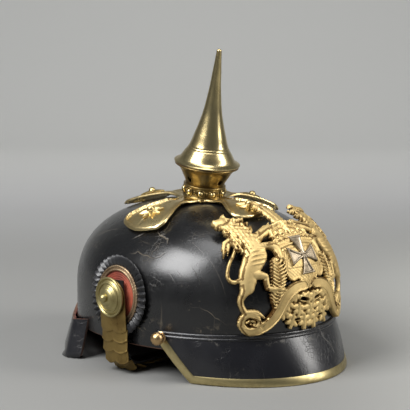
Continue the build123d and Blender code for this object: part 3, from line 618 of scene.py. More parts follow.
def skull_shell():
    """The shell from its rim up over the crown, and back down inside."""
    rows = [oval_row(-1.2, 1, RIM), oval_row(-0.35, 1, RIM + 0.25), oval_row(0, 1, RIM + 1.0)]
    rows += [oval_row(0, 1, height) for height in np.linspace(RIM + 2, DOME_START, 8)]
    rows += [crown_row(0, share) for share in np.linspace(0.015, 1, 70)]
    rows += [crown_row(-SKULL_WALL, share) for share in np.linspace(1, 0, 40)]
    rows += [oval_row(-SKULL_WALL, 1, height) for height in (45, 35, RIM + 1)]
    rows.append(oval_row(-SKULL_WALL + 0.4, 1, RIM))
    points = np.vstack(rows)
    made = piece("skull_shell", points, grid_faces(len(rows), ROUND, True, True), "shell_leather", "helmet",
                 ("skull",), merge=True)
    repaint(made, "raw_edge", lambda x, y, z, n: z < RIM + 0.7)


skull_shell()


# Front visor: its top edge, how far forward its ends are at the foot and at the top, its trim
FRONT_TOP = 34.5
FOOT_END = 72.6
TOP_END = 43.8
TRIM = 0.8
END_RUN = (FOOT_END - TOP_END) / FRONT_TOP
END_SLANT = math.hypot(1, END_RUN)
VISOR_THICK = 2.0
SEAT = 0.1


def front_ring(height, grow):
    """The visor's oval at a height: half its width, half its length and its middle. Towards its foot
    it narrows, shortens and moves to the front, and its side bulges between top and foot."""
    narrower, shorter, forward, bulge = 8.7, 4.5, 20.0, 4.8
    share = 1 - np.clip(np.asarray(height, float) / FRONT_TOP, 0, 1)
    grow = grow + SEAT + bulge * share * (1 - share)
    return HALF_WIDTH + grow - narrower * share, HALF_LENGTH + grow - shorter * share, -forward * share


def front_end(height, inset=0.0):
    """Where the visor's slanted end lies at a height."""
    return -FOOT_END + END_RUN * (np.asarray(height, float) - TRIM) - inset * END_SLANT


def front_reach(height, grow, inset=0.0):
    """The turn from the middle to the visor's end."""
    _, half_length, centre = front_ring(height, grow)
    return np.arccos(np.clip((centre - front_end(height, inset)) / half_length, -1, 1))


def on_oval(ring, turns, height):
    """Points of an oval, turned from its front end."""
    half_width, half_length, centre = ring
    return np.stack((half_width * np.sin(turns), centre - half_length * np.cos(turns),
                     np.broadcast_to(np.asarray(height, float), np.shape(turns))), -1)


def sheet_between(row, heights, outside, inside):
    """A closed sheet whose two faces are rows of the same heights, grown by two amounts."""
    return sheet_solid(*(np.array([row(height, grow) for height in heights]) for grow in (outside, inside)))


def front_row(height, grow):
    reach = front_reach(height, grow)
    return on_oval(front_ring(height, grow), np.linspace(-reach, reach, 141), height)


def front_visor_leather():
    points, faces = sheet_between(front_row, np.linspace(TRIM, FRONT_TOP, 16), VISOR_THICK, 0.0)
    sharpen(piece("front_visor_leather", points, faces, "visor_leather", "helmet", ("front_visor",)))


def front_welt():
    """The raised leather roll along the visor's top, as (out from the skull, height) pairs."""
    section = ((0.0, 34.4), (1.9, 34.4), (2.3, 35.0), (2.25, 35.8), (1.9, 36.3), (1.55, 36.5), (1.5, 36.9),
               (1.75, 37.4), (1.8, 38.3), (1.5, 39.1), (0.9, 39.6), (0.0, 39.5))
    reach = math.acos(TOP_END / (HALF_LENGTH + 1.5))
    turns = np.linspace(-reach, reach, 141)
    rows = [on_oval((HALF_WIDTH + grow, HALF_LENGTH + grow, 0), turns, height) for grow, height in section]
    points, faces = swept(rows)
    piece("front_visor_welt", points, faces, "visor_leather", "helmet")
    stitch_out, stitch_up, stitch_reach = 1.75, 38.0, 1.18
    line = on_oval((HALF_WIDTH + stitch_out, HALF_LENGTH + stitch_out, 0),
                   np.linspace(-stitch_reach, stitch_reach, 241), stitch_up)
    beads_along("front_welt_stitches", line, 2.1, (1.35, 0.42, 0.42), "helmet", "thread", 6)


def folded_trim():
    """A half-round brass strip, folded round the visor's edge and mitred at its two corners. The
    section is (in from the edge, out from the visor's inner face)."""
    section = ((6.0, 2.0), (6.0, 2.35), (5.4, 2.62), (4.2, 2.86), (3.0, 2.98), (1.6, 3.0), (0.4, 2.9),
               (-0.3, 2.6), (-0.65, 2.1), (-0.8, 1.4), (-0.8, 0.4), (-0.65, -0.5), (-0.2, -1.1), (0.6, -1.4),
               (2.5, -1.5), (5.4, -1.45), (6.0, -1.2), (6.0, -0.7))
    top = FRONT_TOP - 0.2
    rows = []
    for inset, grow in section:
        foot = TRIM + inset
        heights = np.linspace(top, foot, 24)
        ends = front_reach(heights, grow, inset)
        left = on_oval(front_ring(heights, grow), -ends, heights)
        right = on_oval(front_ring(heights, grow), ends, heights)[::-1]
        reach = front_reach(foot, grow, inset)
        bottom = on_oval(front_ring(foot, grow), np.linspace(-reach, reach, 121)[1:-1], foot)
        rows.append(np.vstack((left, bottom, right)))
    points, faces = swept(rows[::-1])
    made = piece("front_visor_edging", points, faces, "trim_brass", "helmet", ("front_visor_trim",))
    sharpen(made, 40)


front_visor_leather()
front_welt()
folded_trim()


# Rear visor: its top edge, how far forward its ends are, its rounded lower corners, and the mean
# radius that turns an angle into a run
REAR_TOP = 37.0
REAR_END = 43.0
REAR_CORNER = 7
REAR_RADIUS = 115


def rear_row(height, grow):
    """One level of the visor. Its loose ends pinch in, its sides stand off and are pressed in
    further back, and its upper edge sags between the ends and the back."""
    share = 1 - height / REAR_TOP
    end = REAR_END - height / REAR_TOP
    if height < REAR_CORNER:
        end += REAR_CORNER - math.sqrt(REAR_CORNER**2 - (REAR_CORNER - height)**2)
    half_width = HALF_WIDTH + 4.0 + 6.0 * share + grow
    half_length = HALF_LENGTH + SEAT + 9.9 * share + grow
    centre = 4.0 * share
    reach = math.acos(min(1, max(-1, (end - centre) / half_length)))
    turns = np.linspace(-reach, reach, 161)
    run = (reach - np.abs(turns)) * REAR_RADIUS
    side = -np.sign(turns)
    pinch = (5.0 - 1.0 * share) * (1 - part_way(run, 0, 17))**2
    slack = (4.6 + 0.8 * share) * np.sin(part_way(run, 0, 30) * np.pi)
    press = 3.2 * share * bell(np.abs(turns), 0.78, 0.3)
    x = -half_width * np.sin(turns) + side * (slack - pinch - press * 0.73)
    y = centre + half_length * np.cos(turns) - press * 0.68
    sag, back = eased(part_way(run, 0, 50)), eased(part_way(run, 56, 45))
    z = height * (1 - (0.10 + 0.18 * sag) * (1 - back))
    return np.stack((x, y, z), 1)


def rear_visor_leather():
    heights = np.concatenate((np.linspace(0, REAR_CORNER, 10), np.linspace(REAR_CORNER + 1, REAR_TOP, 12)))
    points, faces = sheet_between(rear_row, heights, VISOR_THICK, 0.0)
    made = piece("rear_visor_leather", points, faces, "visor_leather", "helmet", ("rear_visor",))
    repaint(made, "raw_edge", lambda x, y, z, n: n.z > 0.9 or abs(n.y) > 0.8 and y < 60)
    sharpen(made)
    points, faces = sheet_between(lambda height, grow: rear_row(height, grow)[2:-2], heights, -0.05, -0.7)
    lining = piece("rear_visor_cloth", points, faces, "rear_lining", "helmet", ("rear_visor_lining",))
    sharpen(lining)


rear_visor_leather()


# Spike, neck and pearl ring share one axis that leans to the front
LEAN = math.radians(8.8)
BASE_TOP = 2.8
SPIKE_AXES = (Vector((0, -0.5, TOP + BASE_TOP)), Vector((1, 0, 0)),
              Vector((0, math.cos(LEAN), math.sin(LEAN))), Vector((0, -math.sin(LEAN), math.cos(LEAN))))
SPIKE_FLOOR = 28.7
SPIKE_TIP = 125.3
FLANGE = 27.6
NECK_TOP = 28.0


def turned_piece(name, profile, slot_name, body, replaced, material=None, count=96, axes=SPIKE_AXES,
                 angle=38):
    """A section turned round an axis, as a piece of its own."""
    points, faces = lathe(profile, count)
    made = piece(name, put(axes, points), faces, slot_name, body, replaced, material=material, merge=True)
    return sharpen(made, angle)


def tall_spike():
    """A hollow-sided spike over its flange, drawn as shares of their radius and height, with a ridge
    between two incised lines low on its side."""
    shares = ((1.0, 0.012), (0.860, 0.033), (0.745, 0.083), (0.612, 0.143), (0.475, 0.256), (0.362, 0.365),
              (0.272, 0.475), (0.214, 0.584), (0.167, 0.689), (0.134, 0.797), (0.098, 0.905), (0.076, 0.983))
    rise = SPIKE_TIP - SPIKE_FLOOR
    line = smooth_line([(out * FLANGE, SPIKE_FLOOR + up * rise) for out, up in shares], 150)
    outer = []
    for out, up in line:
        groove = sum(0.32 * bell(up, height, 0.33) for height in (41.2, 43.0))
        ridge = 0.16 * bell(up, 42.1, 0.4)
        outer.append((out - groove + ridge, up))
    tip = arc(0, SPIKE_TIP - 2.1, 2.1, 4, 90, 8)
    foot = [(0, SPIKE_FLOOR), (FLANGE - 1.2, SPIKE_FLOOR), (FLANGE - 0.35, SPIKE_FLOOR + 0.12),
            (FLANGE, SPIKE_FLOOR + 0.55), (FLANGE - 0.05, SPIKE_FLOOR + 1.0)]
    turned_piece("tall_spike", foot + outer[1:] + tip, "gilt_brass", "spike_body", ("spike", "spike_stud"))


def vent_cutter():
    """Four round rods that stand out from the neck's axis."""
    radius, level, sides = 2.2, 16.0, 20
    inner_end, outer_end = 9.0, 32.0
    origin, across, along, normal = SPIKE_AXES
    cut = bmesh.new()
    for out in (-across, -along, across, along):
        around = normal.cross(out)
        ring = []
        for step in round_turns(sides):
            spoke = around * (radius * math.cos(step)) + normal * (level + radius * math.sin(step))
            for reach in (inner_end, outer_end):
                ring.append(cut.verts.new(in_metres(*(origin + out * reach + spoke))))
        for index in range(sides):
            a, b = 2 * index, 2 * ((index + 1) % sides)
            cut.faces.new((ring[a], ring[b], ring[b + 1], ring[a + 1]))
        cut.faces.new(ring[0::2])
        cut.faces.new(ring[1::2])
    bmesh.ops.recalc_face_normals(cut, faces=cut.faces)
    mesh = bpy.data.meshes.new("vent_cutter")
    cut.to_mesh(mesh)
    cut.free()
    return linked("vent_cutter", mesh)


def trumpet_neck():
    """A hollow flare from a straight foot to a rolled mouth, with four vents."""
    foot, mouth, wall = 15.6, 26.8, 1.0
    shares = ((0.600, 0.43), (0.655, 0.54), (0.725, 0.66), (0.840, 0.85))
    points = [(foot, 11.0)] + [(out * mouth, up * NECK_TOP) for out, up in shares] + [(26.3, 27.2)]
    outer = [tuple(point) for point in smooth_line(points, 40)]
    rim = arc(26.25, 27.35, 0.62, -70, 70, 9)
    inner = [(out - wall, up) for out, up in outer[::-1][2:]]
    profile = [(foot, -2.5), (foot, 6.0)] + outer[:-1] + rim + [(24.3, NECK_TOP), (24.3, 26.9)] + inner
    profile += [(foot - wall, 6.0), (foot - wall, -2.5)]
    made = turned_piece("trumpet_neck", profile, "gilt_brass", "helmet", ("spike_neck",), "neck_brass", 128)
    tool = vent_cutter()
    modifier = made.modifiers.new("vents", "BOOLEAN")
    modifier.operation = "DIFFERENCE"
    modifier.solver = "EXACT"
    modifier.object = tool
    bpy.context.view_layer.update()
    mesh = bpy.data.meshes.new_from_object(made.evaluated_get(bpy.context.evaluated_depsgraph_get()))
    made.modifiers.clear()
    made.data = mesh
    bpy.data.objects.remove(tool)
    sharpen(made, 38)


def ball(radius, count):
    """A closed ball as points and faces."""
    turns = np.radians(np.linspace(-90, 90, count // 2 + 1))
    return lathe([(radius * math.cos(turn), radius * math.sin(turn)) for turn in turns] + [(0.0, 0.0)], count)


def torus(radius, wire, count, around):
    return lathe([(radius + wire * math.cos(turn), wire * math.sin(turn)) for turn in round_turns(around)],
                 count)


def at_turn(shape, turn, out, up):
    """A small shape whose Z points outwards, set on a ring round the local Z."""
    points, faces = shape
    side, away = math.cos(turn), math.sin(turn)
    moved = [((out + z) * side - x * away, (out + z) * away + x * side, up + y) for x, y, z in points]
    return moved, faces


def pearl_belt():
    """A ring between two beads, with pearls in collars and a dart between each two."""
    wall, level = 16.8, 5.6
    profile = [(wall - 0.1, -4.0), (wall, 0.4)] + arc(wall, 0.9, 0.95, -80, 80, 9)
    profile += [(wall, 2.1), (wall, 9.1)] + arc(wall, 10.1, 0.95, -80, 80, 9)
    profile += [(wall - 1.1, 11.3), (wall - 1.1, -4.0)]
    turned_piece("pearl_belt", profile, "gilt_brass", "helmet", ("pearl_ring",), "neck_brass", 120)
    pearls, collars = [], []
    dart = (((0, 0, 0.9), (1.5, 0, 0), (0, 3.1, 0), (-1.5, 0, 0), (0, -3.1, 0)),
            ((0, 1, 2), (0, 2, 3), (0, 3, 4), (0, 4, 1), (1, 4, 3, 2)))
    for turn in round_turns(10):
        pearls.append(at_turn(ball(2.55, 22), turn, 16.6, level))
        collars.append(at_turn(torus(3.25, 0.72, 28, 10), turn, 17.0, level))
        collars.append(at_turn(dart, turn + math.pi / 10, 16.7, level))
    for name, shapes, material in (("pearl_beads", pearls, None), ("pearl_collars", collars, "neck_brass")):
        points, faces = joined(*shapes)
        piece(name, put(SPIKE_AXES, points), faces, "gilt_brass", "helmet", material=material, merge=True)


tall_spike()
trumpet_neck()
pearl_belt()


# Stamped sheet: a relief over a plane outline, wrapped on the crown
def relief_solid(first, second, inside, height, place, back):
    """Grid lines both ways, a signed distance, a height over the sheet, a place for a point and the
    height of the back, as a number or as a function of the place."""
    across, up = np.meshgrid(first, second, indexing="ij")
    distance = inside(across, up)
    kept = distance[:-1, :-1] + distance[1:, :-1] + distance[1:, 1:] + distance[:-1, 1:] < 0
    used = np.zeros(distance.shape, int)
    for shift_a in (0, 1):
        for shift_b in (0, 1):
            used[shift_a:shift_a + kept.shape[0], shift_b:shift_b + kept.shape[1]] += kept
    edge = (used > 0) & (used < 4)
    step = (first[1] - first[0]) / 4
    for _ in range(3):
        a, b = across[edge], up[edge]
        here = inside(a, b)
        slope_a = (inside(a + step, b) - inside(a - step, b)) / (2 * step)
        slope_b = (inside(a, b + step) - inside(a, b - step)) / (2 * step)
        size = np.maximum(slope_a**2 + slope_b**2, 0.2)
        across[edge] = a - np.clip(here * slope_a / size, -2 * step, 2 * step)
        up[edge] = b - np.clip(here * slope_b / size, -2 * step, 2 * step)
    count = np.count_nonzero(used)
    number = -np.ones(distance.shape, int)
    number[used > 0] = np.arange(count)
    a, b = across[used > 0], up[used > 0]
    top = place(a, b, height(a, b))
    under = place(a, b, back(a, b) if callable(back) else np.full(len(a), back))
    quads = np.stack((number[:-1, :-1], number[1:, :-1], number[1:, 1:], number[:-1, 1:]), -1)
    around = [tuple(quad) for quad in quads[kept].tolist()]
    lined = np.zeros((kept.shape[0] + 2, kept.shape[1] + 2), bool)
    lined[1:-1, 1:-1] = kept
    walls = []
    for side, (di, dj) in enumerate(((0, -1), (1, 0), (0, 1), (-1, 0))):
        open_side = kept & ~lined[1 + di:1 + di + kept.shape[0], 1 + dj:1 + dj + kept.shape[1]]
        for quad in quads[open_side].tolist():
            here, there = quad[side], quad[(side + 1) % 4]
            walls.append((there, here, count + here, count + there))
    faces = around + [tuple(count + index for index in reversed(face)) for face in around] + walls
    return np.vstack((top, under)), faces


def to_segment(a, b, start, end):
    """How far points are from a straight stretch of line, and their share of the way along it."""
    run = end - start
    along = np.clip(((a - start[0]) * run[0] + (b - start[1]) * run[1]) / max(run @ run, 1e-9), 0, 1)
    return np.hypot(a - start[0] - along * run[0], b - start[1] - along * run[1]), along


def stroke(a, b, points, radii):
    """Signed distance to a run of discs, and the share of the way out from its middle line."""
    points, radii = np.array(points, float), np.broadcast_to(np.array(radii, float), len(points))
    best = np.full(np.shape(a), 1e3)
    out = np.full(np.shape(a), 9.0)
    reach = radii.max() + 3
    near = (a > points[:, 0].min() - reach) & (a < points[:, 0].max() + reach)
    near &= (b > points[:, 1].min() - reach) & (b < points[:, 1].max() + reach)
    a, b = a[near], b[near]
    close, share = np.full(a.shape, 1e3), np.full(a.shape, 9.0)
    for start, end, low, high in zip(points[:-1], points[1:], radii[:-1], radii[1:]):
        far, along = to_segment(a, b, start, end)
        radius = low + (high - low) * along
        closer = far - radius < close
        close = np.where(closer, far - radius, close)
        share = np.where(closer, far / radius, share)
    best[near], out[near] = close, share
    return best, out


def polygon(a, b, points):
    """Signed distance to a closed outline, negative inside."""
    points = np.array(points, float)
    far = np.full(np.shape(a), 1e3)
    odd = np.zeros(np.shape(a), bool)
    for start, end in zip(points, np.roll(points, -1, axis=0)):
        far = np.minimum(far, to_segment(a, b, start, end)[0])
        if start[1] != end[1]:
            crossing = (start[1] > b) != (end[1] > b)
            odd ^= crossing & (a < start[0] + (b - start[1]) * (end[0] - start[0]) / (end[1] - start[1]))
    return np.where(odd, -far, far)


# Cross base: four pillowed arms with a bright raised border and a crease down the middle
ARM_REACH = 79
ARM_SHARES = ((0.20, 0.145), (0.30, 0.125), (0.42, 0.135), (0.58, 0.195), (0.74, 0.265), (0.85, 0.295),
              (0.92, 0.265), (0.96, 0.186), (0.985, 0.105), (1.0, 0.0))
ARM_LINE = smooth_line(np.array(ARM_SHARES) * ARM_REACH, 120)
BASE_SHEET = 1.0


def arm_inside(x, y):
    """Signed distance to the cross, negative inside."""
    along = np.maximum(np.abs(x), np.abs(y))
    across = np.minimum(np.abs(x), np.abs(y))
    far = np.full(np.shape(x), 1e6)
    for start, end in zip(ARM_LINE[:-1], ARM_LINE[1:]):
        far = np.minimum(far, to_segment(along, across, start, end)[0])
    order = np.argsort(ARM_LINE[:, 0])
    width = np.interp(along, ARM_LINE[order, 0], ARM_LINE[order, 1], left=99, right=-9)
    return np.where(across < width, -far, far)


def arm_height(x, y):
    """A raised border round a creased pillow, flat in the middle, all lifted along the arm."""
    depth = np.maximum(-arm_inside(x, y), 0)
    along = np.maximum(np.abs(x), np.abs(y))
    across = np.minimum(np.abs(x), np.abs(y))
    rise = eased(part_way(along, 19, 16)) * (0.45 + 0.55 * part_way(along, 81, -16)**0.6)
    lift = 2.6 * rise
    border = 2.5 + 0.9 * dome((depth - 1.25) / 1.25) + lift
    pillow = 2.1 + (0.4 + 3.0 * rise) * dome(1 - part_way(depth, 2.4, 12))
    crease = 0.9 * bell(across, 0, 1.1) * part_way(along, 22, 8) * part_way(along, 76, -10)
    flat = part_way(along, 24, -5)
    field = (pillow - crease) * (1 - flat) + 2.75 * flat + lift * part_way(depth, 8, -8) * 0.5
    edge = np.maximum(border, np.where(depth < 1.3, 0, field))
    return np.where(depth < 2.45, edge, np.maximum(field, 0.4))


def arm_back(x, y):
    return np.maximum(arm_height(x, y) - BASE_SHEET, 0.3)


def arm_place(x, y, grow):
    """The back arm is a little longer than the others, the front arm shorter."""
    far_x = x * (1 - 0.045 * part_way(np.abs(x), 22, 30))
    far_y = y * (1 + 0.07 * part_way(y, 22, 30) - 0.12 * part_way(-y, 22, 30))
    return np.stack((far_x, far_y, crown_height(far_x, far_y, grow)), 1)


def cross_base():
    lines = np.arange(-ARM_REACH - 0.5, ARM_REACH + 0.6, 0.75)
    points, faces = relief_solid(lines, lines, arm_inside, arm_height, arm_place, arm_back)
    made = piece("cross_base", points, faces, "gilt_brass", "helmet", ("spike_base",), material="base_brass")
    sharpen(made, 50)


def crown_axes(x, y, grow):
    """A frame that lies on the crown, with its first axis pointing outwards along it."""
    def level(aside, ahead):
        return float(crown_height(x + aside, y + ahead, grow))
    step = 1.0
    slope_x = (level(step, 0) - level(-step, 0)) / (2 * step)
    slope_y = (level(0, step) - level(0, -step)) / (2 * step)
    return tilted_frame((x, y, level(0, 0)), (-slope_x, -slope_y, 1), (x, y, x * slope_x + y * slope_y))


def star_head():
    """Eight rays: rings of (radius, waist's share, ridge, valley), with four points to each ray."""
    rings = ((4.2, 1.0, 2.6, 1.8), (7.6, 0.66, 2.0, 0.8), (10.6, 0.5, 0.9, 0.3), (10.4, 0.48, -0.8, -0.8))
    sides = 32
    points = [(0, 0, 2.6)]
    for radius, waist, ridge, valley in rings:
        for index, turn in enumerate(round_turns(sides)):
            wave = (0.0, 0.5, 1.0, 0.5)[index % 4]
            reach = radius * (1 - (1 - waist) * wave)
            points.append((reach * math.cos(turn), reach * math.sin(turn), ridge + (valley - ridge) * wave))
    faces = [(0, 1 + index, 1 + (index + 1) % sides) for index in range(sides)]
    for row in range(len(rings) - 1):
        for index in range(sides):
            a, b = 1 + sides * row + index, 1 + sides * row + (index + 1) % sides
            faces.append((a, a + sides, b + sides, b))
    faces.append(tuple(1 + sides * (len(rings) - 1) + index for index in reversed(range(sides))))
    return points, faces


def raised(points, up):
    """The points of a section or of a shape, moved up."""
    return [(*point[:-1], point[-1] + up) for point in points]


def star_heads():
    knob, knob_faces = ball(3.2, 18)
    collar, collar_faces = torus(3.3, 0.45, 24, 8)
    parts = (star_head(), (raised(knob, 2.3), knob_faces), (raised(collar, 2.2), collar_faces))
    shapes = []
    for x, y in ((0, -54.5), (57.3, 0), (0, 64.2), (-57.3, 0)):
        axes = crown_axes(x, y, 5.6)
        shapes += [(put(axes, points), faces) for points, faces in parts]
    points, faces = joined(*shapes)
    made = piece("star_heads", points, faces, "gilt_brass", "helmet", ("star_studs",), "star_brass", True)
    sharpen(made, 30)


cross_base()
star_heads()


# Front plate: two lions, crown, shield, leaves and a bare scroll, drawn as rounded strokes on one
# side (out from the middle, height) and folded to both sides
PLATE_RISE = 6.5
PLATE_SEAT = 1.6



# The shield's right half from its tip, as shares of the plate's half width and height
PLATE_HALF = 60.0
PLATE_FOOT = 40.0
PLATE_HIGH = 87.0
SHIELD_SHARES = ((0.0, 0.365), (0.1, 0.42), (0.17, 0.465), (0.25, 0.45), (0.32, 0.49), (0.34, 0.565),
                 (0.3, 0.665), (0.27, 0.74), (0.33, 0.79), (0.0, 0.79))
SHIELD = [(out * PLATE_HALF, PLATE_FOOT + up * PLATE_HIGH) for out, up in SHIELD_SHARES]
SHIELD = np.vstack((smooth_line(SHIELD[:3], 10), smooth_line(SHIELD[2:9], 26)[1:], [SHIELD[9]]))
SHIELD = np.vstack((SHIELD, SHIELD[::-1] * (-1, 1)))

# The figures are drawn as they look from the front right side, in the picture's own units, y down,
# each as (points, radii, height at the edge, rise): a lion's torso, then its head, forelegs, hind
# legs and tail
LIMBS = (
    ([(254, 249), (256.5, 256), (254, 264), (250, 273), (249, 281)], (8.5, 11.8, 10.4, 9.2, 9.0), 2.0, 2.8),
    ([(228, 228.5), (237, 231.5), (246, 239), (254, 247)], (4.6, 7.2, 8.6, 8.8), 1.9, 1.9),
    ([(225, 226.2), (220.5, 227.4), (217, 227)], (4.3, 3.4, 2.4), 2.6, 2.7),
    ([(222.6, 230.6), (218.5, 230.6)], (1.7, 1.1), 2.2, 1.4),
    ([(224.5, 221.4), (227, 219.6)], (1.7, 0.9), 2.6, 1.8),
    ([(250, 241), (257, 239.5), (262.5, 235.8), (266.5, 232.8)], (5.2, 4.4, 4.4, 5.0), 2.0, 2.2),
    ([(252, 250), (262, 248.2), (270, 247)], (4.4, 3.1, 2.9), 2.4, 2.3),
    ([(270, 246.8), (275.5, 249), (279, 255), (280.5, 259.5)], (3.2, 3.5, 3.4, 2.2), 2.6, 2.2),
    ([(249, 281), (248.5, 288), (244.5, 295)], (8.8, 7.4, 4.0), 1.8, 3.0),
    ([(244.5, 295), (241.9, 301), (243.5, 308), (246.6, 313)], (4.0, 3.3, 3.1, 3.3), 1.8, 2.3),
    ([(246.6, 313), (252, 312.3), (257, 314.3)], (2.8, 2.5, 2.1), 2.2, 2.2),
    ([(254, 275.5), (260, 275.8), (266, 277)], (5.8, 4.5, 3.3), 1.8, 2.8),
    ([(266.5, 277.4), (267.6, 284), (269, 289)], (3.1, 2.7, 2.6), 1.9, 2.2),
    ([(269, 289), (275, 289.5), (280, 288.5)], (2.5, 2.2, 1.8), 3.0, 1.8),
    ([(241, 281), (234, 283.3), (229.8, 279.5), (229.3, 272), (231.5, 264), (235.3, 256), (237.2, 250),
      (235.3, 244.5), (232, 241.5)], (2.2, 2.1, 1.9, 1.8, 1.7, 1.6, 1.6, 1.5, 1.5), 1.5, 1.6),
    ([(232.5, 241.5), (228.5, 246), (226.4, 252.5), (225.6, 259)], (1.6, 2.1, 1.9, 0.6), 1.7, 1.8),
    ([(233.2, 243), (230.8, 248.5), (229.8, 256.5)], (1.3, 1.7, 0.6), 1.6, 1.6),
    ([(230.8, 241.3), (226, 245), (223.8, 252)], (1.3, 1.7, 0.6), 1.6, 1.6),
)
CLAWS = (
    (267, 231.5, 269.5, 226.5, 1.7), (268, 232, 272.5, 228.2, 1.7), (268.5, 233.5, 273.5, 232, 1.6),
    (280.5, 259, 281, 263.6, 1.4), (281.8, 258, 284.6, 261.6, 1.4), (278.7, 258, 277.8, 262.2, 1.3),
    (256.5, 314, 260.2, 314.6, 1.3), (256, 315.4, 259.4, 317.4, 1.3), (279.4, 288.8, 283, 290, 1.3),
    (279.4, 288, 283, 286.8, 1.3))
FOLDS = (
    ([(243.5, 320), (247, 316.5), (252.5, 316.2), (257.5, 319.5)], (1.2, 1.5, 1.5, 1.0), 3.6, 1.2),
    ([(246, 327.5), (251, 329.4), (257, 327.4), (262, 322.5)], (1.1, 1.5, 1.5, 1.0), 3.6, 1.2),
    ([(247.5, 322.5), (251, 320.5), (255.6, 322), (255, 325.6)], (1.2, 1.4, 1.3, 1.0), 3.0, 1.2),
    ([(246.5, 314), (252, 311.8), (258.5, 312.5), (264.5, 317.5)], (1.6, 2.0, 1.9, 1.4), 2.2, 1.8),
    ([(239.5, 325.5), (243, 329.8), (248, 333.5), (255, 334.6)], (1.2, 1.8, 2.0, 1.6), 1.8, 1.8),
    ([(256, 334.5), (262.5, 332.6), (268.5, 328)], (1.2, 1.4, 1.0), 2.2, 1.6),
)
COLUMN = [(276, 261.5), (278.6, 272), (279, 282), (278, 290), (276.4, 298), (275, 307)]
COLUMN_WIDE = (4.6, 7.0, 7.6, 6.8, 5.6, 2.4)
RIBBON = [(302, 285.5), (297.5, 286.5), (291, 291), (284.5, 299), (279.5, 309), (274, 318), (267, 325),
          (258, 330)]
CURL = [(258, 330), (250, 331.6), (243.8, 327.5), (242.4, 321), (246.6, 315.8), (253.6, 314.6), (259, 318),
        (259.6, 323.6), (255.6, 326.4), (252, 324)]
MANE = [(226, 222.4), (231, 223.6), (236, 222.4), (243, 222.4), (247.4, 226), (250.4, 231), (249.6, 236.4),
        (256, 238.6), (262, 243.4), (261.5, 248.4), (250, 252.6), (240, 252.6), (234.4, 250.4), (231, 243),
        (226.4, 235.6), (224, 231)]
# (foot, turn in degrees, length) of each lobed leaf, which lies on those before it
LEAVES = (
    (304, 313, 86, 14), (294, 313, 100, 14), (286, 308, 122, 12.5), (308.5, 312, 70, 14),
    (299, 303, 92, 12), (290, 300, 118, 12), (308, 302, 74, 12),
    (296, 292.5, 120, 9), (306.5, 292, 84, 9), (300.5, 300, -60, 7.5))


def ahead(start, way, reach):
    """The place a reach away from a start, in a direction."""
    return start[0] + reach * math.cos(way), start[1] + reach * math.sin(way)


def lobed_leaf(foot_x, foot_z, turn, length, lift):
    """Five strokes that fan from a leaf's rib."""
    strokes = []
    turn = math.radians(turn)
    for along, swing, share in ((0.18, 62, 0.40), (0.22, -60, 0.36), (0.5, 42, 0.36), (0.56, -38, 0.34),
                                (0.0, 0, 1.0)):
        reach = length * share
        way = turn + math.radians(swing)
        bend = way + math.radians(18 if swing > 0 else -18 if swing < 0 else 8)
        start = ahead((foot_x, foot_z), turn, length * along)
        middle = ahead(start, way, reach * 0.6)
        wide, rise = (3.0, 1.5) if swing else (2.2, 2.0)
        strokes.append(([start, middle, ahead(middle, bend, reach * 0.5)], (wide * 0.6, wide, wide * 0.75),
                        0.8 + lift, rise))
    return strokes


def lock_strokes():
    """Short curled locks that fan from the lion's face over its mane."""
    strokes = []
    face = (220.0, 226.0)
    for ring in range(10):
        count = 4 + 2 * ring
        for index in range(count):
            turn = math.radians(-22 + 100 * (index + 0.5 * (ring % 2)) / count)
            start = ahead(face, turn, 6.0 + 4.1 * ring)
            if polygon(*np.array(start), MANE) > 0.4:
                continue
            bend = turn + (1.1 if (index + ring) % 2 else -0.9)
            sway = 0.35 * math.sin(3.7 * index + ring)
            middle = ahead(start, turn + sway, 2.3)
            strokes.append(([start, middle, ahead(middle, bend + sway, 2.4)], (1.1, 1.45, 0.5), 2.4, 2.0))
    return strokes


def column_strokes():
    """A leafy stem: pairs of small leaves up both sides of its middle."""
    strokes = []
    line = smooth_line(COLUMN, 15)
    for (a, b), wide in zip(line[1:-1], spread(COLUMN_WIDE, 15)[1:-1]):
        for side in (-1, 1):
            leaf = [(a + side * 0.6, b + 1.6), (a + side * wide * 0.55, b - 0.2), (a + side * wide, b - 2.8)]
            strokes.append((leaf, (1.0, 1.6, 0.7), 1.8, 2.1))
    strokes.append(([(271.5, 288.5), (278, 290.0), (284.5, 290.0)], 1.3, 3.0, 1.4))
    strokes.append(([(271.5, 291.5), (278, 293.0), (284.0, 293.0)], 1.0, 2.8, 1.2))
    return strokes


def crest_strokes():
    """The plate's crest runs up over the front arm of the base."""
    strokes = [([(0, 117.5), (0, 129.6)], (2.2, 2.0), 2.2, 1.7)]
    for index in range(8):
        z = 117.8 + 1.5 * index
        wide = 5.4 - 0.15 * index
        strokes.append(([(0.4, z), (wide * 0.6, z + 0.35), (wide, z + 1.15)], (0.8, 1.05, 0.75), 1.8, 1.8))
    return strokes


def dot(out, up, long, radius, edge, rise):
    return [(out, up), (out + long, up)], radius, edge, rise


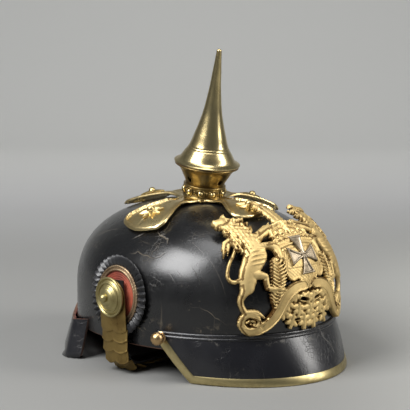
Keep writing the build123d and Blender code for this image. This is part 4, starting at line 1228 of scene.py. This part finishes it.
def crown_strokes():
    """An arched crown: a jewelled band, fleurons and arches of pearls."""
    strokes = [([(0, 107.6), (9, 107.2), (18.5, 105.2)], 1.7, 2.2, 1.6),
               ([(0, 110.2), (9, 109.8), (18.8, 107.8)], 0.7, 2.6, 1.6),
               ([(0, 105.2), (9, 104.8), (18.0, 103.0)], 0.7, 2.6, 1.6)]
    for index in range(8):
        out = 2.3 * index + 1.1
        strokes.append(dot(out, 107.7 - (out / 18.5)**2 * 2.4, 0.6, 0.75, 3.2, 1.2))
    for out in (0.0, 6.2, 12.4, 17.4):
        foot = 110.3 - (out / 18.8)**2 * 2.2
        strokes.append(([(out, foot), (out, foot + 4.0)], (1.1, 0.8), 2.0, 2.0))
        strokes.append(dot(out - 1.7, foot + 2.3, 3.4, 0.8, 2.0, 1.8))
    for turn in np.linspace(0, math.pi / 2, 12):
        strokes.append(dot(17.2 * math.cos(turn), 111.0 + 7.6 * math.sin(turn), 0.01, 1.0, 2.6, 1.9))
    return strokes + [dot(0, 112 + 1.6 * index, 0.01, 0.9, 3.0, 1.9) for index in range(5)]


# What is drawn as seen, and what is drawn flat on the plate
SEEN = [(smooth_line(points, 12) if len(points) > 3 else points, radii, edge, rise)
        for points, radii, edge, rise in LIMBS + FOLDS]
SEEN += [([(a, b), (c, d)], (radius, radius * 0.5), 2.6, 1.7) for a, b, c, d, radius in CLAWS]
SEEN += lock_strokes() + column_strokes()
for index, leaf in enumerate(LEAVES):
    SEEN += lobed_leaf(*leaf, 0.2 * index)
FLAT = crest_strokes() + crown_strokes()
RIBBON_LINE = smooth_line(RIBBON, 30)
CURL_LINE = smooth_line(CURL, 26)
SHEET_BACK = [(308, 290), (296, 290.5), (289, 298), (284, 308), (289, 317), (297, 321), (309, 322)]
CROWN_BACK = [(0, 104), (17.5, 102.4), (19.0, 107), (17.2, 112.4), (12.5, 116.6), (6.0, 118.6), (0, 119)]


def seen(out, z):
    """Where a point of the plate lies in the picture, for the half that faces the view."""
    place = np.stack((-out, front_depth(out, z - PLATE_RISE, PLATE_SEAT + 1.4), z), -1)
    turn = math.radians(VIEW_TURN)
    eye = np.array((-VIEW_AWAY * math.sin(turn), -VIEW_AWAY * math.cos(turn), VIEW_HEIGHT))
    ahead = np.array((0, 0, VIEW_AIM)) - eye
    ahead = ahead / np.linalg.norm(ahead)
    aside = np.cross(ahead, (0, 0, 1))
    aside = aside / np.linalg.norm(aside)
    over = np.cross(aside, ahead)
    away = place - eye
    deep = away @ ahead
    return (PICTURE / 2 - VIEW_SHIFT + VIEW_SCALE * (away @ aside) / deep,
            PICTURE / 2 - VIEW_SCALE * (away @ over) / deep)


def plate_parts(x, z):
    """Every figure of the plate as (signed distance, height) at the given points."""
    out = np.abs(x)
    a, b = seen(out, z)
    parts = []
    far, share = stroke(a, b, smooth_line(COLUMN, 8), spread(COLUMN_WIDE, 8) * 0.8)
    parts.append((far, 1.3 + 0.9 * dome(share)))
    for (first, second), strokes in (((a, b), SEEN), ((out, z), FLAT)):
        for points, radii, edge, rise in strokes:
            if np.ndim(radii) and len(radii) != len(points):
                radii = spread(radii, len(points))
            far, share = stroke(first, second, points, radii)
            parts.append((far, edge + rise * dome(share)))
    far, share = stroke(a, b, SEEN[0][0], spread(LIMBS[0][1], 12))
    ribs = 0.9 * np.sin((b * 0.95 + a * 0.25) * 1.55)
    ribs *= part_way(a, 251, 6) * part_way(b, 250, 4) * part_way(b, 270, -6)
    parts.append((far, 2.0 + 2.8 * dome(share) + ribs * dome(share)))
    far, share = stroke(a, b, RIBBON_LINE, 4.9)
    parts.append((far, 3.1 + (0.5 + 1.2 * bell(share, 0.84, 0.1)) * part_way(share, 1, -0.08)))
    radii = spread((4.6, 4.3, 4.0, 3.6, 3.3, 3.0, 2.6, 2.1, 1.7, 1.4), len(CURL_LINE))
    far, share = stroke(a, b, CURL_LINE, radii)
    parts.append((far, 2.4 + 2.2 * dome(share) + 0.9 * bell(share, 0.86, 0.1)))
    parts.append((polygon(a, b, SHEET_BACK), np.full(np.shape(out), 0.9)))
    parts.append((np.hypot(a - 250.5, b - 323) - 7.0, np.full(np.shape(out), 1.0)))
    parts.append((polygon(out, z, CROWN_BACK), 1.6 + 0.7 * part_way(z, 119, -16) + 0.1 * np.sin(out * 3.0)))
    far = polygon(x, z, SHIELD)
    rim = dome((-far - 0.9) / 0.9)
    field = 2.3 + 1.3 * part_way(far, 0, -12)
    quarters = -0.45 * (bell(x, 0, 0.45) + bell(z, 88, 0.45))
    diaper = 0.16 * np.sin(x * 2.1) * np.sin(z * 2.1)
    parts.append((far, field + rim + (quarters + diaper) * part_way(far, 0, -2.2)))
    return parts


def plate_inside(x, z):
    """Signed distance to the plate's outline, with two small openings in it."""
    best = np.full(np.shape(x), 1e3)
    for far, _ in plate_parts(x, z):
        best = np.minimum(best, far)
    a, b = seen(np.abs(x), z)
    hole = stroke(a, b, [(301, 298.2), (305, 298.8)], 1.9)[0]
    lower = stroke(a, b, [(295.5, 319.3), (298.5, 318.7)], 1.2)[0]
    return np.maximum(best, np.maximum(-hole, -lower))


def plate_height(x, z):
    """The highest of the figures that a point lies in."""
    top = np.full(np.shape(x), 0.6)
    for far, height in plate_parts(x, z):
        top = np.where(far < 0.0, np.maximum(top, height), top)
    return top


def plate_place(x, z, grow):
    """The sheet's seat on the crown, moved outwards along its normal."""
    def depth(aside, over):
        return front_depth(x + aside, z + over - PLATE_RISE, PLATE_SEAT)
    step = 0.5
    slope_x = (depth(step, 0) - depth(-step, 0)) / (2 * step)
    slope_z = (depth(0, step) - depth(0, -step)) / (2 * step)
    normal = np.stack((slope_x, -np.ones(np.shape(x)), slope_z), 1)
    normal /= np.linalg.norm(normal, axis=1)[:, None]
    return np.stack((x, depth(0, 0), z), 1) + normal * np.reshape(grow, (-1, 1))


def stamped_plate():
    """The plate, with an attribute that says how far each point lies over its surroundings."""
    reach, low, high, step = 63.0, 40.05, 133.0, 0.45
    around = range(-3, 4)
    first, second = np.arange(-reach, reach + 0.1, step), np.arange(low, high, step)
    points, faces = relief_solid(first, second, plate_inside, plate_height, plate_place, 0.0)
    made = piece("stamped_plate", points, faces, "plate_brass", "helmet", ("front_plate",))
    across, up = np.meshgrid(first, second, indexing="ij")
    level = plate_height(across, up)
    level[plate_inside(across, up) > 0] = 0.0
    blurred = sum(np.roll(level, (aside, over), (0, 1)) for aside in around for over in around)
    hollow = level - blurred / len(around)**2
    half = len(points) // 2
    column = np.clip(np.rint((points[:half, 0] - first[0]) / step).astype(int), 0, len(first) - 1)
    row = np.clip(np.rint((points[:half, 2] - second[0]) / step).astype(int), 0, len(second) - 1)
    depth = np.full(len(points), -1.0)
    depth[:half] = hollow[column, row]
    layer = made.data.attributes.new("depth", "FLOAT", "POINT")
    layer.data.foreach_set("value", depth * MM)


CROSS_UP = 96.0
CROSS_REACH = 13.5
CROSS_SEAT = 3.5


def cross_inside(x, z):
    """Signed distance to a cross whose arms widen outwards, negative inside."""
    x, z = np.abs(x) / 0.95, np.abs(z - CROSS_UP) / 0.95
    along, across = np.maximum(x, z), np.minimum(x, z)
    width = 1.9 + 4.7 * part_way(along, 1.9, 11.6)**1.35
    return np.maximum((across - width) * 0.85, along - CROSS_REACH)


def cross_height(x, z):
    """A raised border round a grained field that swells in its middle."""
    depth = np.maximum(-cross_inside(x, z), 0)
    border = 1.2 + 0.8 * dome((depth - 0.7) / 0.7)
    field = 0.8 + 0.1 * np.sin(x * 3.1) * np.sin(z * 2.7)
    middle = 0.5 * np.exp(-(np.hypot(x, z - CROSS_UP) / 2.4)**4)
    return np.where(depth < 1.4, border, field) + middle


def silver_cross():
    first = np.arange(-CROSS_REACH - 0.25, CROSS_REACH + 0.3, 0.25)

    def place(x, z, grow):
        return plate_place(x, z, CROSS_SEAT + grow)
    points, faces = relief_solid(first, first + CROSS_UP, cross_inside, cross_height, place, 0.0)
    piece("silver_cross", points, faces, "silver", "helmet", ("reserve_cross",))


stamped_plate()
silver_cross()


# Cockades, tilted a little to follow the shell, and the bosses on their posts
POST_OUT = 97.0
POST_Y = -4.0
POST_UP = 62.0
TILT = math.radians(4.5)
COCKADE_AXES = (Vector((-POST_OUT - 1.0, POST_Y, POST_UP)), Vector((math.sin(TILT), 0, math.cos(TILT))),
                Vector((0, 1, 0)), Vector((-math.cos(TILT), 0, math.sin(TILT))))
POST_AXES = (Vector((-POST_OUT, POST_Y, POST_UP)), Vector((0, 0, 1)), Vector((0, 1, 0)),
             Vector((-1, 0, 0)))


def pleated_ring():
    """A ring of pleats that lean one way, from rings of (radius, height, fold, bulge)."""
    pleats, steps = 38, 8
    count, rows = pleats * steps, []
    turns = round_turns(count)
    saw = (np.arange(count) % steps) / steps
    fold = np.where(saw < 0.625, saw / 0.625, (1 - saw) / 0.375)
    wander = 0.35 * np.sin(7 * turns + 1) + 0.25 * np.sin(17 * turns)
    for radius, height, deep, bulge in (
            (24.6, -2.3, 0.0, 0), (28.5, -2.6, 0.0, 0), (31.3, -2.8, 0.1, 0.9), (32.2, -2.2, 0.8, 1.3),
            (32.1, -1.2, 2.0, 1.3), (31.0, -0.6, 2.9, 0.9), (29.0, -0.35, 3.1, 0.4), (27.0, -0.2, 2.5, 0),
            (25.4, -0.2, 1.5, 0), (24.6, -0.6, 0.3, 0)):
        reach = radius + bulge * (fold - 0.5) + 0.25 * wander * (radius > 31)
        level = height + deep * (fold - 0.35)
        rows.append(np.stack((reach * np.cos(turns), reach * np.sin(turns), level), 1))
    return np.vstack(rows), grid_faces(len(rows), count, True, True)


def twisted_cord(radius, wire, height, strands):
    """A ring of cord whose two-lobed section turns along it."""
    count, around = 300, 12
    points = []
    for turn in round_turns(count):
        for angle in round_turns(around):
            lobe = wire * (1 + 0.16 * math.cos(2 * angle + strands * turn))
            out, up = radius + lobe * math.cos(angle), height + lobe * math.sin(angle)
            points.append((out * math.cos(turn), out * math.sin(turn), up))
    return points, grid_faces(count, around, True, True)


def cockade_pair(part, node, slot_name, shape, angle, left_slot=None):
    """One piece of the right cockade and its twin, which may have another finish."""
    points, faces = shape
    made = piece(f"cockade_{part}_right", put(COCKADE_AXES, points), faces, slot_name, "helmet",
                 (f"cockade_{node}_right",), merge=True)
    sharpen(made, angle)
    mirrored_piece(made, f"cockade_{part}_left", (f"cockade_{node}_left",), left_slot)


def cockade_pieces():
    cockade_pair("pleats", "rim", "cockade_black", pleated_ring(), 50)
    band = lathe([(24.7, -2.2), (24.7, -0.9), (19.9, -0.5), (19.9, -1.8)], 96)
    cords = ((23.6, 0.95, -0.35, 64), (20.9, 0.95, -0.1, 58), (22.25, 0.42, -0.3, 90))
    shape = joined(band, *(twisted_cord(*cord) for cord in cords))
    cockade_pair("braid", "cords", "cockade_silver", shape, 60)
    field = 19.7
    section = [(0.0, -0.8), (field, -2.3)]
    section += [(out, 0.95 - out * 0.09 + 0.16 * math.sin(out * 3.6)) for out in np.linspace(field, 0, 60)]
    cockade_pair("cloth", "field", "cockade_red", lathe(section, 96), 70, "cockade_black")


BOSS_LEVEL = 8.15


def strap_boss():
    """Two rounded beads, a cone of steps and a knob, over the strap's end."""
    section = [(0.0, 0.0), (15.2, 0.0), (16.1, 0.3)] + arc(15.35, 1.35, 0.98, -30, 120, 10)
    section += [(14.3, 1.35), (13.9, 1.15), (13.4, 1.5), (12.9, 2.0), (12.5, 2.3)]
    section += arc(11.7, 2.65, 0.75, 10, 150, 8)
    section += [(10.9, 2.5), (10.5, 2.6), (9.6, 3.4), (9.2, 3.3), (8.3, 4.2), (7.8, 4.1), (6.6, 5.0),
                (6.1, 4.9), (4.6, 5.7), (3.9, 5.75)] + arc(0, 7.0, 3.35, -22, 90, 12)
    made = turned_piece("strap_boss_right", raised(section, BOSS_LEVEL), "scale_brass", "helmet",
                        ("chin_boss_right",), "boss_brass", 72, POST_AXES, 32)
    mirrored_piece(made, "strap_boss_left", ("chin_boss_left",))


cockade_pieces()
strap_boss()


# Brass scales on the chin strap, which leans a little to the front, hangs straight and bends in
SWING_LEAN = math.radians(4.0)
STRAP_AXES = (Vector((-POST_OUT - 4.4, POST_Y, POST_UP)), Vector((1, 0, 0)),
              Vector((0, math.sin(SWING_LEAN), math.cos(SWING_LEAN))),
              Vector((0, -math.cos(SWING_LEAN), math.sin(SWING_LEAN))))
SHEET = 0.8
BEND = 15.0
FLOOR_GAP = 6.4
# How far the left half hangs inside the right one
LEFT_STEP = 3.45
SCALES = 8
SCALE_PITCH = 8.6
SCALE_WIDE, SCALE_NARROW = 31.0, 23.0
# How far down the strap the first of the overlapping scales starts
SCALES_START = 26.0


def strap_place(length, step):
    """The place and turn at a length down the strap, for a half that hangs a step further in."""
    straight = (POST_UP - FLOOR_GAP) / math.cos(SWING_LEAN) - BEND
    bend = BEND - step
    if length <= straight:
        return 0.0, -length, 0.0
    if length <= straight + bend * math.pi / 2:
        turn = (length - straight) / bend
        return bend * (1 - math.cos(turn)), -straight - bend * math.sin(turn), turn
    return bend + length - straight - bend * math.pi / 2, -straight - bend, math.pi / 2


def on_strap(points, length, step, lift, tilt):
    """Local x across the strap, y down along it and z outwards, in the strap's own plane."""
    x, y, turn = strap_place(length, step)
    origin, first, second, third = STRAP_AXES
    across = first * math.cos(turn) + second * math.sin(turn)
    along = second * math.cos(turn) - first * math.sin(turn)
    outward, down = -across, -along
    start = origin + first * x + second * y + outward * lift
    placed = []
    for px, py, pz in points:
        far = py * math.cos(tilt) - pz * math.sin(tilt)
        up = py * math.sin(tilt) + pz * math.cos(tilt)
        placed.append(tuple(start + third * px + down * far + outward * up))
    return placed


def scale_grid(width, top, bottom, rows=15):
    """A swelling sheet with a two-lobed lower edge, and a bead along that edge and both sides."""
    half = width / 2
    shares = np.linspace(-1, 1, 25)
    lobe = np.abs(shares)
    low = bottom - 2.1 * (2 * lobe - 1)**2 - 0.5 * np.clip(2 * lobe - 1, 0, 1)**2
    outer, inner = [], []
    for share in np.linspace(1, 0, rows):
        y = top + (low - top) * share
        edge, side = low - y, half * (1 - lobe)
        swell = 1.2 * (1 - shares**2)
        bead = 0.34 * bell(edge, 0.8, 0.7) + 0.22 * bell(side, 0.9, 0.7)
        lobes = 0.35 * np.sin(np.pi * lobe)**2 * part_way(edge, 9, -9)
        roll = -0.35 * bell(edge, 0, 0.3) - 0.3 * bell(side, 0, 0.3)
        outer.append(np.stack((shares * half, y, SHEET + swell + bead + lobes + roll), 1))
        inner.append(np.stack((shares * half, y, swell), 1))
    return sheet_solid(np.array(outer)[:, ::-1], np.array(inner)[:, ::-1])


def chin_scales():
    """The long first scale, round at its top, and the overlapping ones below it, on both sides."""
    slope = math.asin(1.0 / SCALE_PITCH)
    for side, step in (("right", 0.0), ("left", LEFT_STEP)):
        points, faces = scale_grid(SCALE_WIDE, -13.5, 29.0, 30)
        points = [(x * math.sqrt(1 - (min(y, 0) / 14.2)**2), y, z) for x, y, z in points]
        made = [(f"first_plate_{side}", f"first_scale_{side}", on_strap(points, 0, step, 1.549, 0), faces)]
        for index, width in enumerate(np.linspace(SCALE_WIDE, SCALE_NARROW, SCALES)):
            points, faces = scale_grid(width, 0.0, 11.6)
            placed = on_strap(points, SCALES_START + SCALE_PITCH * index, step, 0.2, slope)
            made.append((f"scale_{side}_{index + 1}", f"chin_scale_{side}_{index + 1}", placed, faces))
        for name, node, placed, faces in made:
            if side == "left":
                placed = [(-x, y, z) for x, y, z in placed]
            scale = piece(name, placed, faces, "scale_brass", "chin_strap", (node,), flip=side == "left")
            sharpen(scale, 45)


chin_scales()


# Ball studs at the trim's ends
def ball_stud():
    """A ball on a collar and a thin shank."""
    angle = math.asin(50.4 / (HALF_LENGTH + 2.9))
    origin = (-(HALF_WIDTH + 1.5) * math.cos(angle), -(HALF_LENGTH + 1.5) * math.sin(angle), 35.5)
    axes = tilted_frame(origin, (origin[0] / HALF_WIDTH**2, origin[1] / HALF_LENGTH**2, 0), (0, 0, 1))
    shank, collar = 2.4, 3.2
    section = [(0.0, -0.6), (shank, -0.6), (shank, collar)]
    section += raised([(4.3, 0), (4.7, 0.35), (4.7, 0.9), (4.2, 1.25), (3.6, 1.4)], collar)
    section += arc(0, collar + 5.9, 5.35, -56, 90, 16)
    made = turned_piece("ball_stud_right", section, "trim_brass", "helmet", ("visor_buttons",), "stud_brass",
                        36, axes, 40)
    mirrored_piece(made, "ball_stud_left", ())


ball_stud()


# Strip down the back, with a raised bead along each edge
def back_strip():
    """A strip down the crown and over the rear visor to its foot."""
    shares = np.linspace(0.57, 0, 40)
    line = [(np.interp(share, SHARES, ARCH_OUT), np.interp(share, SHARES, ARCH_UP)) for share in shares]

    def run(grow, ledge):
        path = [((HALF_LENGTH + grow) * out, DOME_START + (TOP - DOME_START + grow) * up) for out, up in line]
        path += [(HALF_LENGTH + grow, 48.0), (HALF_LENGTH + grow, ledge + 0.6)]
        over = HALF_LENGTH + 2.1 + grow
        foot = HALF_LENGTH + 16.0 + grow
        path += [(HALF_LENGTH + grow + 0.6, ledge), (over - 0.6, ledge), (over, ledge - 0.6)]
        path += [(over + (foot - over) * share, (ledge - 0.6) * (1 - share))
                 for share in np.linspace(0.06, 1, 14)]
        return np.array(path)
    under, outer = run(0.3, 37.3), run(1.2, 38.2)
    half = [(6.0, 0.0), (6.0, 0.7), (5.7, 1.1), (5.1, 1.2), (4.5, 0.9), (4.1, 0.55), (1.0, 0.75)]
    section = [(-aside, lift) for aside, lift in half] + [(0.0, 0.85)] + half[::-1]
    rows = []
    for aside, lift in section:
        path = under + (outer - under) * lift / 0.9
        rows.append(np.stack((np.full(len(path), aside), path[:, 0], path[:, 1]), 1))
    points, faces = swept(rows)
    sharpen(piece("back_strip", points, faces, "trim_brass", "helmet", ("rear_spine",)), 40)


def silk_liner():
    """A silk crown gathered by a cord at its middle, in soft pleats that run up the crown."""
    count = 360
    turns = round_turns(count)
    outer, inner = [], []
    for share in np.concatenate((np.linspace(0.07, 0.9, 40), [0.94, 0.97])):
        out, up = np.interp(share, SHARES, ARCH_OUT), np.interp(share, SHARES, ARCH_UP)
        fold = 1.1 * np.sin(36 * turns + 1.3 * np.sin(3 * turns)) * min(1, share * 2)
        sag = fold - 1.2 * np.sin(math.pi * share)
        for rows, grow in ((outer, -8.3), (inner, -9.0)):
            x = (HALF_WIDTH + grow + sag) * out * np.cos(turns)
            y = (HALF_LENGTH + grow + sag) * out * np.sin(turns)
            rows.append(np.stack((x, y, DOME_START + (TOP - DOME_START + grow + sag * 0.6) * up), 1))
    rows = outer + inner[::-1]
    piece("silk_liner", np.vstack(rows), grid_faces(len(rows), count, True, True), "liner_silk", "helmet",
          ("crown_liner",))


back_strip()
silk_liner()

# Parts that keep their solid take their slot's finish
for part in frame["record"]["subparts"]:
    carried = frame["nodes"][part["node"]]
    finish = MATERIALS[part["material_slot"]]
    if carried.material_slots:
        for slot in carried.material_slots:
            slot.material = finish
    else:
        carried.data.materials.append(finish)


# Floor, light and camera
LAMP_AIM = 110
SENSOR = 36.0


def backdrop():
    """A plain floor that curves up into a wall behind the object, with painted light in its colour."""
    flat, radius = 1400, 900
    profile = [(-3000.0, 0.0), (flat, 0.0)]
    profile += [(flat + radius * math.sin(turn), radius - radius * math.cos(turn))
                for turn in np.linspace(0.1, math.pi / 2, 14)]
    profile.append((flat + radius, 4200.0))
    turn = math.radians(VIEW_TURN)
    forward = Vector((math.sin(turn), math.cos(turn), 0))
    aside = Vector((math.cos(turn), -math.sin(turn), 0))
    points, faces = [], []
    for away, up in profile:
        for side in (-3600, 3600):
            place = forward * away + aside * side
            points.append((place.x * MM, place.y * MM, up * MM))
    for row in range(len(profile) - 1):
        faces.append((2 * row, 2 * row + 2, 2 * row + 3, 2 * row + 1))
    mesh = bpy.data.meshes.new("studio_floor")
    mesh.from_pydata(points, [], faces)
    mesh.polygons.foreach_set("use_smooth", [True] * len(faces))
    floor = linked("studio_floor", mesh)
    f = Finish("studio_floor")
    away = f.axis(0) * math.sin(turn) + f.axis(1) * math.cos(turn)
    mottle = f.noise(1.3, 3, 0.5) * 0.03
    # Painted light: the colour lightens from near the helmet out to the wall, making up for the weaker lamp
    # light that falls far off and on the wall.
    colour = f.blend((away + mottle).rise(0.0, 0.42), rgb(128, 128, 126), rgb(138, 138, 136))
    colour = f.blend((away + mottle).rise(0.35, 0.95), colour, rgb(182, 182, 182))
    colour = f.blend((away + mottle).rise(0.7, 1.4), colour, rgb(232, 232, 229))
    # Painted light: a lighter patch on the floor to the right of the helmet and near it, over the shadow that
    # the left lamp casts there.
    right = f.axis(0) * math.cos(turn) - f.axis(1) * math.sin(turn)
    painted_light_patch = (right + mottle).rise(0.08, 0.32) * away.fall(0.2, 0.7)
    colour = f.blend(painted_light_patch, colour, rgb(164, 164, 160))
    mesh.materials.append(f.set(base_color=colour, roughness=0.75, specular_ior_level=0.25))


def softbox(name, azimuth, elevation, distance, width, height, power, tint=(1, 1, 1)):
    """A rectangular lamp that looks at the helmet's middle."""
    light = bpy.data.lights.new(name, "AREA")
    light.shape = "RECTANGLE"
    light.size, light.size_y = width * MM, height * MM
    light.energy = power
    light.color = tint
    lamp = linked(name, light)
    turn, lift = math.radians(azimuth), math.radians(elevation)
    away = Vector((math.sin(turn) * math.cos(lift), -math.cos(turn) * math.cos(lift), math.sin(lift)))
    lamp.location = (Vector((0, 0, LAMP_AIM)) + away * distance) * MM
    lamp.rotation_euler = (-away).to_track_quat("-Z", "Y").to_euler()


def camera():
    lens = bpy.data.cameras.new("view")
    lens.sensor_width = SENSOR
    lens.lens = VIEW_SCALE * SENSOR / PICTURE
    lens.shift_x = VIEW_SHIFT / PICTURE
    lens.clip_end = 60
    holder = linked("view", lens)
    turn = math.radians(VIEW_TURN)
    place = Vector((-VIEW_AWAY * math.sin(turn), -VIEW_AWAY * math.cos(turn) + MID_Y, VIEW_HEIGHT)) * MM
    aim = Vector((0, MID_Y, VIEW_AIM)) * MM
    holder.location = place
    holder.rotation_euler = (aim - place).to_track_quat("-Z", "Y").to_euler()
    bpy.context.scene.camera = holder


def world_light():
    world = bpy.data.worlds.new("soft_room")
    bpy.context.scene.world = world
    world.use_nodes = True
    sky = world.node_tree.nodes["Background"]
    sky.inputs["Color"].default_value = (0.9, 0.95, 1.0, 1.0)
    sky.inputs["Strength"].default_value = 0.12


backdrop()
softbox("left_box", -95, 45, 1300, 700, 800, 23)
softbox("right_box", 35, 30, 1500, 450, 1100, 15, tint=(1.0, 0.98, 0.95))
softbox("top_box", -40, 82, 1500, 900, 800, 10)
world_light()
camera()
bpy.context.scene.view_settings.view_transform = "Standard"
